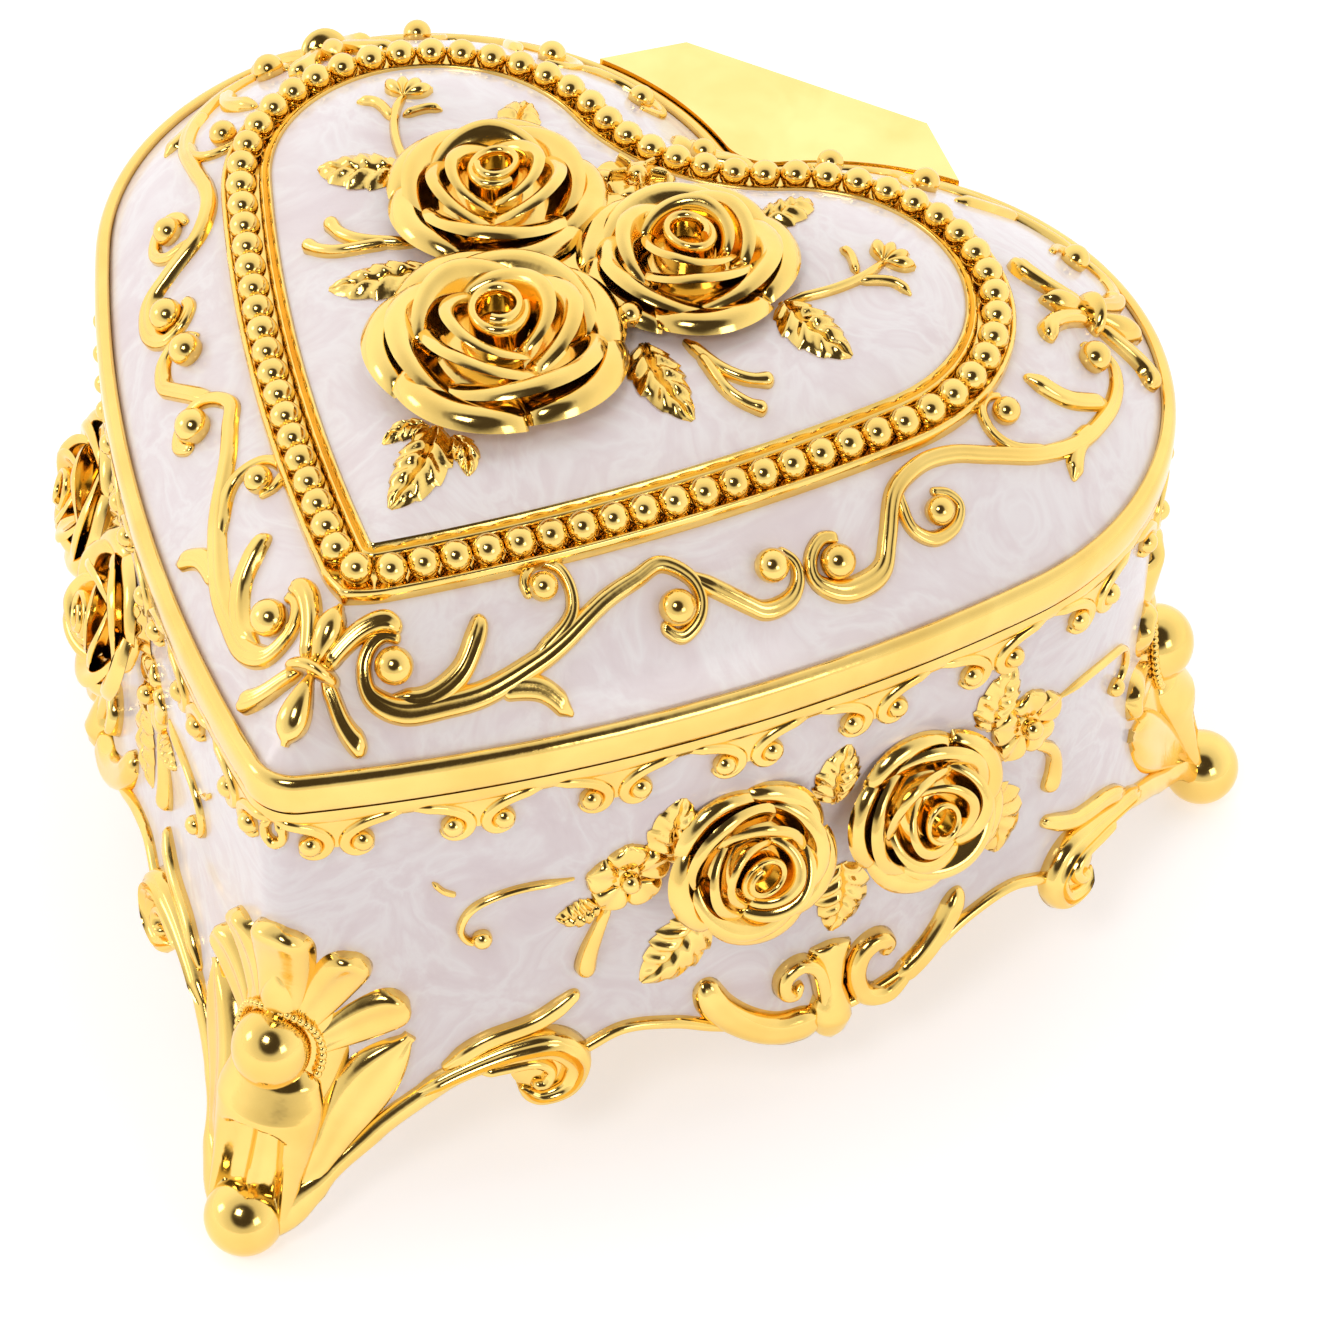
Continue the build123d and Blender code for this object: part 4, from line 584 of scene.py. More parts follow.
def node_material(name):
    """New material: returns it with its node tree, its principled shader and its object coordinates."""
    material = bpy.data.materials.new(name)
    material.use_nodes = True
    tree = material.node_tree
    shader = tree.nodes["Principled BSDF"]
    coords = tree.nodes.new("ShaderNodeTexCoord")
    return material, tree, shader, coords.outputs["Object"]


def noise(tree, vector, scale, detail=3.0, distortion=0.0, rough=0.5):
    """Noise texture on object coordinates, its scale in waves per metre."""
    node = tree.nodes.new("ShaderNodeTexNoise")
    node.inputs["Scale"].default_value = scale
    node.inputs["Detail"].default_value = detail
    node.inputs["Roughness"].default_value = rough
    node.inputs["Distortion"].default_value = distortion
    tree.links.new(vector, node.inputs["Vector"])
    return node.outputs["Fac"]


def ramp(tree, value, stops):
    """Colour ramp through (place, colour) stops."""
    node = tree.nodes.new("ShaderNodeValToRGB")
    elements = node.color_ramp.elements
    for k, (place, colour) in enumerate(stops):
        element = elements[k] if k < 2 else elements.new(place)
        element.position = place
        element.color = (*colour, 1.0)
    tree.links.new(value, node.inputs["Fac"])
    return node.outputs["Color"]


def tint(tree, shader, value, stops):
    """Base colour from a ramp over a pattern."""
    tree.links.new(ramp(tree, value, stops), shader.inputs["Base Color"])


def bump(tree, shader, value, strength, distance):
    """Bump of a height in metres on the shader's normal."""
    node = tree.nodes.new("ShaderNodeBump")
    node.inputs["Strength"].default_value = strength
    node.inputs["Distance"].default_value = distance
    tree.links.new(value, node.inputs["Height"])
    tree.links.new(node.outputs["Normal"], shader.inputs["Normal"])


def roughen(tree, shader, value, low, high):
    """Roughness from low to high over a pattern."""
    node = tree.nodes.new("ShaderNodeMapRange")
    node.inputs["To Min"].default_value = low
    node.inputs["To Max"].default_value = high
    tree.links.new(value, node.inputs["Value"])
    tree.links.new(node.outputs["Result"], shader.inputs["Roughness"])


def pearl_enamel(name):
    """Pearl enamel: soft white clouds in pale pink, with brushed strokes, under a clear coat."""
    material, tree, shader, place = node_material(name)
    cloud = noise(tree, place, 95.0, 4.0, 1.4, 0.55)
    tint(tree, shader, cloud, PEARL_TONES)
    shader.inputs["Roughness"].default_value = 0.3
    shader.inputs["Coat Weight"].default_value = 0.45
    shader.inputs["Coat Roughness"].default_value = 0.08
    stroke = noise(tree, place, 210.0, 4.0, 2.6)
    bump(tree, shader, stroke, 0.16, 0.0004)
    return material


def polished_gold(name, colour, rough=(0.08, 0.17)):
    """Polished gold plate on a casting: faint tone drift, fine pits and an uneven polish."""
    material, tree, shader, place = node_material(name)
    drift = noise(tree, place, 120.0, 3.0, 0.4)
    deep = tuple(c * k for c, k in zip(colour, (0.93, 0.88, 0.78)))
    tint(tree, shader, drift, ((0.35, deep), (0.65, colour)))
    shader.inputs["Metallic"].default_value = 1.0
    polish = noise(tree, place, 700.0, 2.0)
    roughen(tree, shader, polish, *rough)
    pits = noise(tree, place, 420.0, 3.0)
    bump(tree, shader, pits, 0.10, 0.0003)
    return material


def plain_metal(name, colour, rough, grain, metallic=1.0):
    """Worked metal or moulded plastic: noise drives its tone, its polish and a fine bump."""
    material, tree, shader, place = node_material(name)
    wear = noise(tree, place, grain, 4.0)
    dark = tuple(0.86 * c for c in colour)
    tint(tree, shader, wear, ((0.35, dark), (0.65, colour)))
    shader.inputs["Metallic"].default_value = metallic
    roughen(tree, shader, wear, *rough)
    bump(tree, shader, wear, 0.12, 0.0002)
    return material


def velvet(name):
    """Short velvet pile: crushed patches, a fine nap and a pale sheen."""
    material, tree, shader, place = node_material(name)
    crush = noise(tree, place, 130.0, 4.0, 0.8)
    tint(tree, shader, crush, VELVET_TONES)
    shader.inputs["Roughness"].default_value = 0.9
    shader.inputs["Sheen Weight"].default_value = 0.7
    shader.inputs["Sheen Roughness"].default_value = 0.35
    shader.inputs["Sheen Tint"].default_value = (0.95, 0.55, 0.60, 1.0)
    nap = noise(tree, place, 5200.0, 2.0)
    bump(tree, shader, nap, 0.5, 0.0002)
    return material


def fibreboard(name):
    """Pressed board: short fibres in two browns."""
    material, tree, shader, place = node_material(name)
    fibre = noise(tree, place, 900.0, 5.0, 1.5)
    tint(tree, shader, fibre, BOARD_TONES)
    shader.inputs["Roughness"].default_value = 0.85
    bump(tree, shader, fibre, 0.4, 0.0003)
    return material


finishes = {
    "enamel": pearl_enamel("pearl_enamel"),
    "gold": polished_gold("gold_plate", GOLD),
    "base": polished_gold("base_lacquer", LACQUER, rough=(0.30, 0.42)),
    "card": fibreboard("fibreboard"),
    "velvet": velvet("red_velvet"),
    "steel": plain_metal("bright_steel", STEEL, (0.18, 0.32), 900.0),
    "frame_metal": plain_metal("die_cast_metal", CAST_METAL, (0.35, 0.5), 600.0),
    "movement_brass": plain_metal("movement_brass", BRASS, (0.18, 0.3), 700.0),
    "fan_plastic": plain_metal("fan_plastic", FAN_BLACK, (0.35, 0.45), 500.0, metallic=0.0),
}
for subpart in frame["record"]["subparts"]:
    node = frame["nodes"][subpart["node"]]
    node.data.materials.clear()
    node.data.materials.append(finishes[subpart["material_slot"]])
# the hinge plate takes a lighter, yellower copy of the gold: a painted highlight that stands for the bright
# sky it mirrors
frame["nodes"]["hinge_plate"].data.materials[0] = polished_gold("plate_gold_painted_highlight", LIT_PLATE_GOLD)


# Lid: enamel dome, band, bead border, lining

# The dome's ring inside the band: its width, its gaps to the band and the lining, and its lift
DOME_RING = 2.5
SKIRT_GAP = 0.06
SLOPE_GAP = 0.05
LINING_GAP = 0.1
FOOT_LIFT = 0.05
# Sections as (outwards, up): the band from its foot over its lip, then the border's two ridges
BAND_SECTION = (
    ((-BAND_THICKNESS, 0.02), (-0.45, 0.0), (-0.14, 0.1), (-0.03, 0.4), (0.0, 1.1), (0.0, 2.2), (-0.06, 2.75))
    + ((-0.2, 3.15), (-0.45, 3.5), (-0.8, 3.74), (-1.1, 3.8), (-1.35, 3.72), (-BAND_THICKNESS, 3.5))
)
OUTER_RIDGE = ((0.0, -0.6), (0.2, 0.8), (0.16, 1.4), (0.02, 1.6), (-0.2, 1.6), (-0.34, 1.42), (-0.4, 1.1))
INNER_RIDGE = (
    ((1.0, 1.1), (0.95, 2.1), (0.82, 2.4), (0.62, 2.46), (0.48, 2.28), (0.4, 2.2))
    + ((0.28, 2.45), (0.14, 2.92), (-0.08, 3.05), (-0.28, 2.8), (-0.1, -0.4))
)
BORDER_MITRE = 1.0
BEAD_COUNT = 76
BEAD_RADIUS = 1.52
BEAD_LIFT = 2.2
BEAD_SHIFT = 0.28
# The linings' gaps to what holds them, how far in a pad is crowned, and the width and depth of its round edge
LID_PAD_GROW = -BAND_THICKNESS - 2.6
TRAY_PAD_GROW = -WALL_INSET - WALL - 0.25
PAD_SHOULDER = 9.0
PAD_EDGE = 0.9
PAD_ROLL = 0.75


def heart_rows(heart, levels, mitre=0.0):
    """Rows round a heart, one for each (grow, height); a mitre sharpens the outer rows at the tip."""
    s = heart.stations()
    from_end = heart.tip_turn * np.clip(1 - np.abs(s) / heart.ends[1], 0, 1)
    draw = 1 + mitre * (1 / np.cos(from_end) - 1)
    rows = []
    for grow, z in levels:
        plan = heart.at(s, np.where(grow > 0, grow * draw, grow))
        rows.append(np.concatenate([plan, np.full((len(s), 1), z)], 1))
    return np.stack(rows)


def carried(heart, section, mitre=0.0):
    """Closed (grow, height) section carried once round a heart."""
    return heart_rows(heart, section, mitre).transpose(1, 0, 2)


def shifted(section, grow, z):
    """A section moved outwards and up."""
    return [(grow + g, z + h) for g, h in section]


def inward_rows(edge, middle, shares, height):
    """Rows that shrink from an outline to its middle; height gives Z at plan points."""
    plan = middle + (edge[None, :, :] - middle) * (1 - np.asarray(shares))[:, None, None]
    return np.concatenate([plan, height(plan)[..., None]], -1)


def at_level(z):
    """One height at all plan points."""
    return lambda plan: np.full(plan.shape[:-1], z)


def lid_dome():
    """Enamel dome from the rim up to the border, the bench under the border and the crowned panel."""
    inner, skirt = -BAND_THICKNESS - DOME_RING, -BAND_THICKNESS - SKIRT_GAP
    ceiling_z = span("lid_lining")[1][2] + LINING_GAP
    foot_z = lid_z + FOOT_LIFT
    s, b = rim.stations(), border.stations()
    ceiling = inward_rows(rim.at(s, inner), heart_middle, (0.97, 0.6, 0.3, 0.0), at_level(ceiling_z))
    sides = heart_rows(rim, ((inner, foot_z), (skirt, foot_z), (skirt, slope_z)))
    low, high = rim.at(s, -BAND_THICKNESS - SLOPE_GAP), border.at(b, BORDER_OUTER)
    plan = low + (high - low) * np.linspace(0, 1, 26)[:, None, None]
    slope = np.concatenate([plan, lid_height(plan)[..., None]], -1)
    slope[-1, :, 2] = border_z
    bench = heart_rows(border, ((-BORDER_INNER, border_z), (-BORDER_INNER, panel_z)))
    shares = np.linspace(0.0, 0.985, 26)[1:]
    panel = inward_rows(border.at(b, -BORDER_INNER), panel_middle, shares, lid_height)
    dome = Casting()
    dome.add(np.concatenate([ceiling, sides, slope, bench, panel]))
    dome.make("lid_dome", "lid", "enamel", ("lid_shell",))


def lid_trim():
    """Gold band with a rounded lip over a broad, slightly full face, and the border with its beads."""
    band = Casting()
    band.add(carried(rim, shifted(BAND_SECTION, 0.0, lid_z)), ring=True)
    band.make("rim_band", "lid", "gold", ("lid_band",), sharp=38.0)
    edge = Casting()
    section = shifted(OUTER_RIDGE, BORDER_OUTER, border_z) + shifted(INNER_RIDGE, -BORDER_INNER, border_z)
    edge.add(carried(border, section, BORDER_MITRE), ring=True)
    turn = (np.arange(BEAD_COUNT) / BEAD_COUNT * 2 - 1) * border.half
    for x, y in border.at(turn, BEAD_SHIFT):
        edge.add(globe((x, y, border_z + BEAD_LIFT), BEAD_RADIUS, 9, 18))
    edge.make("bead_border_work", "lid", "gold", ("bead_border",), sharp=60.0)


def lining_pad(name, body, node, grow, crown, down):
    """Velvet pad: flat where it rests, its other face crowned towards the middle, its edge rounded."""
    low, high = span(node)
    rest, face, sign = (high[2], low[2], -1.0) if down else (low[2], high[2], 1.0)

    def swell(plan):
        """Height of the crowned face: it rises as a power of the way in, and rolls down over the edge."""
        inset = rim.inside(plan) + grow
        bulge = crown * (1 - (1 - np.clip(inset / PAD_SHOULDER, 0, 1)) ** 2.2)
        roll = PAD_ROLL * (1 - np.clip(inset / PAD_EDGE, 0, 1)) ** 2
        return face + sign * bulge - sign * roll

    edge = rim.at(rim.stations(), grow)
    shares = 1 - np.linspace(1, 0.02, 26)
    back = inward_rows(edge, heart_middle, shares[::-1][::5], at_level(rest))
    front = inward_rows(edge, heart_middle, shares, swell)
    pad = Casting()
    pad.add(np.concatenate([back, front]))
    piece = pad.make(name, body, "velvet", (node,), sharp=70.0)


# Lid ornaments, drawn for the right half as (x, distance from the tip)

LID_STEMS = (
    # half width, height, points
    (0.92, 1.2)
    + ((5.8, 14.3), (4.4, 13.7), (3.7, 12.3), (3.9, 10.8), (5.3, 9.7), (8.0, 10.5), (10.9, 13.0))
    + ((13.6, 15.8), (16.1, 19.6), (17.7, 22.7), (19.4, 27.4), (21.0, 30.6), (22.2, 32.9), (24.7, 33.7))
    + ((26.3, 33.1), (26.8, 31.6), (26.1, 29.7), (24.3, 29.1)),
    (0.72, 1.0)
    + ((15.9, 19.3), (17.4, 23.7), (17.0, 25.8), (15.0, 27.1), (12.9, 26.4), (12.8, 24.4), (13.9, 23.5)),
    (0.82, 1.1)
    + ((24.4, 33.6), (29.7, 35.4), (31.5, 36.3), (32.8, 38.3), (32.8, 39.9), (31.9, 40.8), (30.3, 40.6)),
    (0.9, 1.2)
    + ((34.3, 45.1), (33.1, 43.9), (33.0, 42.0), (34.1, 41.0), (36.2, 42.0), (37.8, 44.1), (38.5, 46.1))
    + ((37.9, 48.2), (36.8, 51.7), (37.6, 55.3), (39.5, 58.1), (42.4, 60.9), (45.6, 64.6), (47.8, 69.4))
    + ((48.3, 74.6), (47.7, 78.6), (46.3, 81.3), (44.6, 81.6), (43.2, 80.2)),
    (0.65, 0.95)
    + ((36.8, 52.6), (37.7, 51.3), (39.3, 50.4), (41.2, 51.2), (42.3, 53.3), (42.0, 55.0), (40.7, 55.0))
    + ((39.4, 54.0),),
    (0.65, 0.9) + ((46.6, 66.4), (44.0, 63.4), (41.8, 62.7), (40.1, 63.8), (39.7, 65.6), (40.6, 67.0)),
    (0.68, 0.95) + ((41.6, 89.0), (41.8, 92.4), (39.6, 96.4), (36.4, 97.6), (34.2, 96.2), (34.4, 93.8)),
    (0.68, 0.95)
    + ((37.0, 97.4), (33.0, 99.4), (27.5, 100.0), (22.5, 99.0), (18.8, 96.2), (18.4, 93.2), (20.4, 91.8)),
    (0.62, 0.9) + ((18.6, 95.0), (15.0, 97.6), (10.6, 97.0), (8.4, 94.0), (9.6, 91.8)),
)
LID_LEAVES = (
    # half width, height, width of the tip, swelling towards the tip, points from the stem to the tip
    (0.68, 0.95, 0.8, 0.5, (6.6, 10.4), (9.4, 12.4), (11.1, 15.4), (11.2, 18.2), (10.9, 20.0)),
    (0.85, 1.0, 0.3, 0.0, (14.0, 16.4), (17.4, 18.9), (20.6, 19.4)),
    (0.8, 0.9, 0.35, 0.0, (48.2, 72.6), (47.9, 69.0), (49.0, 65.8)),
    (0.8, 1.0, 0.5, 0.2, (47.8, 76.4), (45.0, 72.2), (41.2, 70.8)),
    (0.85, 0.9, 0.4, 0.0, (28.4, 100.0), (26.6, 96.4), (24.0, 93.4)),
)
LID_BALLS = (
    # place, radius
    ((6.0, 12.4), 1.8),
    ((24.8, 31.0), 1.75),
    ((14.4, 24.9), 1.4),
    ((30.3, 39.1), 1.65),
    ((34.9, 43.4), 1.7),
    ((40.6, 53.2), 1.45),
    ((44.6, 79.4), 1.6),
    ((41.6, 65.4), 1.4),
    ((36.3, 94.6), 1.45),
    ((20.6, 93.6), 1.45),
    ((10.6, 93.4), 1.35),
)
# Places of the knots and the shell, and a knot's leaves as (along, aside)
TIP_KNOT = (0.0, 8.8)
LOBE_KNOT = (41.8, 85.4)
CLEFT_SHELL = np.array([0.0, 86.0])
SHELL_RAYS = 7
SHELL_STEP = 20
KNOT_UPPER = ((0.1, 0.7), (2.4, 1.5), (4.4, 2.6), (5.8, 4.0), (6.1, 5.6))
KNOT_LOWER = ((0.0, 0.8), (0.3, 2.0), (0.8, 3.6), (1.0, 5.0), (0.95, 6.4))
COLLAR_REACH = 2.5
COLLAR_HALF = 0.72
COLLAR_HEIGHT = 2.7


def knot(casting, middle, turn, droop):
    """Tied bunch: a bud and two curled leaves each way from a half-ring collar, the lower ones to a droop."""
    ray = np.array([cos(turn), sin(turn)])
    side = np.array([-ray[1], ray[0]])
    spot = lambda a, b: np.array(middle) + a * ray + b * side
    for reach in (5.2, -5.4):
        casting.add(petal_blade(on_lid, spot(-0.08 * reach, 0), spot(reach, 0), 1.35, 1.9, blunt=1.6))
    for flank in (1.0, -1.0):
        upper = [spot(a, b * flank) for a, b in KNOT_UPPER]
        lower = [spot(-a * droop, b * flank) for a, b in KNOT_LOWER]
        casting.add(stem(on_lid, upper, 0.8, 1.3, start=0.5, end=0.7, crease=0.15, fade=-0.25))
        casting.add(stem(on_lid, lower, 0.72, 1.2, start=0.5, end=0.7, crease=0.15, fade=-0.35))
    t = np.linspace(-1, 1, 25)
    arch = np.sqrt(np.maximum(1 - t**2, 0.002))
    ring = np.stack([spot(0.25 * (1 - b * b), COLLAR_REACH * b) for b in t])
    top = COLLAR_HEIGHT * arch[:, None] * half_round(np.linspace(-1, 1, 9)[None, :])
    casting.add(blade(on_lid, ring, COLLAR_HALF * np.sqrt(arch), top))


def lid_scrolls():
    """Scrolls, leaves and balls of the sloping border, its three knots and the shell at the cleft."""
    work = Casting()
    for half_width, height, *points in LID_STEMS:
        count = 8 * len(points)
        work.both(stem(on_lid, points, half_width, height, 0.6, 0.8, crease=0.18, fade=0.28, count=count))
    for half_width, height, end, swelling, *points in LID_LEAVES:
        work.both(stem(on_lid, points, half_width, height, 0.4, end, crease=0.15, fade=-swelling, count=36))
    for place, radius in LID_BALLS:
        work.both(ball_drop(on_lid, place, radius, 0.45))
    knot(work, TIP_KNOT, pi / 2, 2.1)
    for flank in (1.0, -1.0):
        knot(work, (flank * LOBE_KNOT[0], LOBE_KNOT[1]), -pi / 2 - flank * 0.82, 4.6)
    for k in range(SHELL_RAYS):
        a = radians(SHELL_STEP * (k - SHELL_RAYS // 2))
        ray = np.array([sin(a), cos(a)])
        work.add(petal_blade(on_lid, CLEFT_SHELL + 0.6 * ray, CLEFT_SHELL + 5.2 * ray, 0.85, 1.1, blunt=1.4))
    work.add(ball_drop(on_lid, CLEFT_SHELL, 1.3, 0.6))
    work.make("lid_scroll_work", "lid", "gold", ("lid_scrolls",))


LID_ROSES = (
    # x, distance from the tip, radius, turn
    (-10.1, 62.0, 10.6, 1.41),
    (10.1, 62.2, 10.6, 2.67),
    (0.0, 43.5, 12.4, 1.99),
)
LID_ROSE_SINK = 0.25
ROSE_BED = ((0.0, 47.0), (0.0, 71.0))
BERRY = (9.0, 52.6)
TIP_LEAF = ((-0.6, 33.0), (-0.4, 23.6))
TIP_SIDE_LEAF = ((1.2, 32.6), (4.4, 29.6))
SPRAY_LEAVES = (
    # base, tip, half width
    ((19.8, 62.9), (28.2, 60.2), 2.7),
    ((11.0, 51.6), (19.0, 45.8), 2.6),
    ((12.4, 71.8), (15.0, 78.6), 2.2),
)
SPRAY_STEMS = (
    # half width, height, width of the start, width of the end, points
    (0.7, 1.0, 0.5, 1.3, (14.0, 53.6), (18.1, 52.1), (21.0, 52.2), (23.4, 53.6)),
    (0.65, 1.0, 0.4, 1.3, (15.6, 53.0), (19.6, 50.4), (22.0, 50.0), (24.2, 50.6)),
    (0.5, 0.85, 0.5, 0.7, (20.0, 62.8), (23.2, 66.4), (25.0, 69.6), (25.6, 72.4)),
    (0.55, 0.8, 0.5, 0.35, (24.6, 68.6), (27.4, 70.4), (29.6, 70.2)),
    (0.5, 0.8, 0.5, 0.35, (24.2, 69.6), (22.6, 71.6), (21.2, 72.2)),
)
BUD_FOOT = (25.6, 72.2)
BUD_ANGLES = (-40.0, -7.0, 27.0, 60.0)
DAISY = (-0.4, 72.4)
DAISY_RADIUS = 4.0
DAISY_TURN = 0.9


def lid_bouquet():
    """Three roses on the panel with their leaves, stems, daisy and bud sprigs."""
    roses = Casting()
    for x, from_tip, radius, turn in LID_ROSES:
        rose(roses, (x, tip_y + from_tip, crown_z - LID_ROSE_SINK), np.eye(3), radius, turn)
    roses.add(petal_blade(on_lid, *ROSE_BED, 9.5, 1.2))
    roses.add(ball_drop(on_lid, BERRY, 1.25, 1.6))
    roses.make("lid_rose_work", "lid", "gold", ("lid_roses",), sharp=65.0)
    spray = Casting()
    for base, tip, half_width in SPRAY_LEAVES:
        spray.both(leaf(on_lid, base, tip, half_width, 1.3, bend=-0.1))
    spray.add(leaf(on_lid, *TIP_LEAF, 2.6, 1.3, bend=0.08))
    spray.both(leaf(on_lid, *TIP_SIDE_LEAF, 1.3, 1.0, teeth=3))
    for flank in (1.0, -1.0):
        for half_width, height, start, end, *points in SPRAY_STEMS:
            spray.add(stem(on_lid, flipped(points, flank), half_width, height, start=start, end=end))
        foot = np.array([flank * BUD_FOOT[0], BUD_FOOT[1]])
        for angle in BUD_ANGLES:
            ray = np.array([flank * sin(radians(angle)), cos(radians(angle))])
            spray.add(petal_blade(on_lid, foot, foot + 3.1 * ray, 0.75, 1.3, blunt=1.3))
    flower(spray, on_lid, DAISY, DAISY_RADIUS, 1.5, turn=DAISY_TURN)
    for k in range(FLOWER_PETALS):
        a = DAISY_TURN + 2 * pi * (k + 0.5) / FLOWER_PETALS
        thread = [np.array(DAISY) + r * np.array([cos(a), sin(a)]) for r in (0.9, 2.0, 3.2)]
        spray.add(stem(on_lid, thread, 0.3, 1.9, start=0.5, end=0.5))
    spray.make("lid_spray", "lid", "gold", ("lid_leaves",), sharp=65.0)


# Body: enamel wall, gold strip and swags, bouquets, apron, legs, drawn as (distance along the wall, height)

# Lower edge of the apron: distance from a leg, height
APRON = (
    ((0.0, 2.2), (1.2, 3.7), (2.2, 5.7), (3.5, 7.2), (5.0, 8.1), (7.0, 9.2), (9.0, 10.7), (12.0, 12.6))
    + ((16.0, 14.8), (20.0, 16.1), (24.0, 16.0), (28.0, 15.0), (33.0, 16.5), (38.0, 15.6), (42.0, 13.9))
    + ((46.0, 12.5), (50.0, 11.5), (54.0, 11.0))
)
EDGE_LAP = 0.2
# Below this height the inside follows the flare, fully so at this depth
INNER_FLARE_Z = 13.0
INNER_FLARE_DEPTH = 8.0


def apron_height(s):
    """Height of the apron's lower edge: it dips to each leg's ball and to the middle between two legs."""
    return along_table(from_leg(s), smooth(APRON, 120))


def body_wall():
    """Enamel wall: a closed section at each place, down the outside to the apron's edge and up the inside."""
    s = rim.stations(WALL_COUNTS)
    share = np.linspace(0, 1, 34)[None, :]
    outer_z = body_top_z + (apron_height(s)[:, None] + EDGE_LAP - body_top_z) * share
    outer_grow = wall_bulge(s[:, None] + 0 * share, outer_z) - WALL_INSET
    inner_z = outer_z[:, ::-1]
    deep = np.clip((INNER_FLARE_Z - inner_z) / INNER_FLARE_DEPTH, 0, 1)
    inner_grow = -WALL_INSET - WALL + deep * wall_bulge(s[:, None] + 0 * share, inner_z)
    grow = np.concatenate([outer_grow, inner_grow], 1)
    z = np.concatenate([outer_z, inner_z], 1)
    point, out = rim.point_and_normal(s)
    xy = point[:, None, :] + grow[..., None] * out[:, None, :]
    wall = Casting()
    wall.add(np.concatenate([xy, z[..., None]], -1), ring=True)
    wall.make("enamel_wall", "base", "enamel", ("body_shell",))


STRIP_SECTION = ((-0.6, -1.8), (0.4, -1.9), (0.62, -1.5), (0.72, -0.8), (0.62, -0.1), (-0.6, 0.02))
SWAG_FIRST = 6.2
SWAG_PITCH = 13.05
SWAG_COUNT = 10
SWAG_SCROLL = (
    ((-6.3, 51.5), (-4.2, 51.2), (-2.3, 50.5), (-1.0, 49.4))
    + ((-0.75, 48.2), (-1.4, 47.3), (-2.6, 47.2), (-3.4, 47.9))
)
SWAG_BALL = (-2.4, 48.45)
WEB_DROP = 1.4
WEB_DEPTH = 3.6
TIP_CURL = ((0.2, 51.4), (1.0, 50.2), (0.9, 48.8), (-0.2, 48.2), (-0.9, 49.0))


def rim_swags():
    """Gold strip under the lid with paired C scrolls that hang from it, webbed above and ending in balls."""
    strip = Casting()
    strip.add(carried(rim, shifted(STRIP_SECTION, -WALL_INSET, body_top_z)), ring=True)
    drop = np.linspace(0, 1, 18)
    web_z = body_top_z - WEB_DROP - WEB_DEPTH * drop
    web_half = 0.5 + 4.8 * (1 - drop) ** 2.4
    web_top = 0.55 * (1 - np.linspace(-1, 1, 13) ** 8)[None, :] + 0 * drop[:, None]
    for k in range(SWAG_COUNT):
        middle = SWAG_FIRST + k * SWAG_PITCH
        strip.both(blade(on_wall, np.stack([middle + 0 * drop, web_z], -1), web_half, web_top))
        for way in (1.0, -1.0):
            scroll = [(middle + x, z) for x, z in flipped(SWAG_SCROLL, way)]
            strip.both(stem(on_wall, scroll, 0.72, 1.05, start=0.6, end=0.7, crease=0.15, count=40))
            strip.both(ball_drop(on_wall, (middle + way * SWAG_BALL[0], SWAG_BALL[1]), 1.12, 0.4))
    for flank in (1.0, -1.0):
        strip.add(stem(on_wall, flipped(TIP_CURL, flank), 0.6, 0.9, start=0.5, end=0.6))
    strip.make("rim_strip_work", "base", "gold", ("rim_strip",), sharp=60.0)


WALL_LEAVES = (
    # base, tip, half width
    ((38.8, 36.5), (39.2, 44.8), 2.9),
    ((41.4, 28.6), (35.2, 21.5), 3.4),
    ((56.2, 28.6), (55.0, 20.5), 3.0),
    ((55.2, 37.6), (56.2, 45.0), 2.6),
    ((72.0, 30.6), (74.0, 21.6), 3.4),
    ((31.2, 33.4), (26.8, 32.6), 1.9),
    ((72.4, 38.8), (74.6, 46.4), 2.7),
)
WALL_STEMS = (
    # half width, height, width of the start, swelling towards the end, points
    (0.45, 0.6, 0.5, 1.7, (32.2, 33.6), (30.8, 29.6), (29.9, 26.6), (29.5, 24.2)),
    (0.5, 0.6, 0.5, 1.4, (77.3, 34.4), (80.4, 31.6), (81.0, 28.6), (80.3, 25.8)),
    (0.42, 0.7, 0.4, 0.0, (28.6, 37.6), (23.0, 37.9), (19.0, 36.6), (17.6, 33.8), (18.6, 31.8), (20.2, 32.6)),
    (0.3, 0.5, 0.4, 0.0, (15.0, 40.8), (16.0, 39.4), (17.2, 38.6)),
    (0.42, 0.7, 0.4, 0.0, (80.0, 38.4), (86.0, 38.4), (92.0, 36.6), (93.6, 33.6), (92.0, 31.6), (90.4, 32.6)),
)
TENDRIL_BALLS = ((19.6, 32.2), (91.0, 32.2))
WALL_FLOWERS = ((33.8, 36.2, 4.3), (76.7, 37.4, 4.4))
WALL_ROSES = ((45.4, 35.4), (63.9, 34.2))
WALL_ROSE_RADIUS = 8.7
WALL_ROSE_LIFT = 1.0
WALL_ROSE_TILT = radians(17.0)


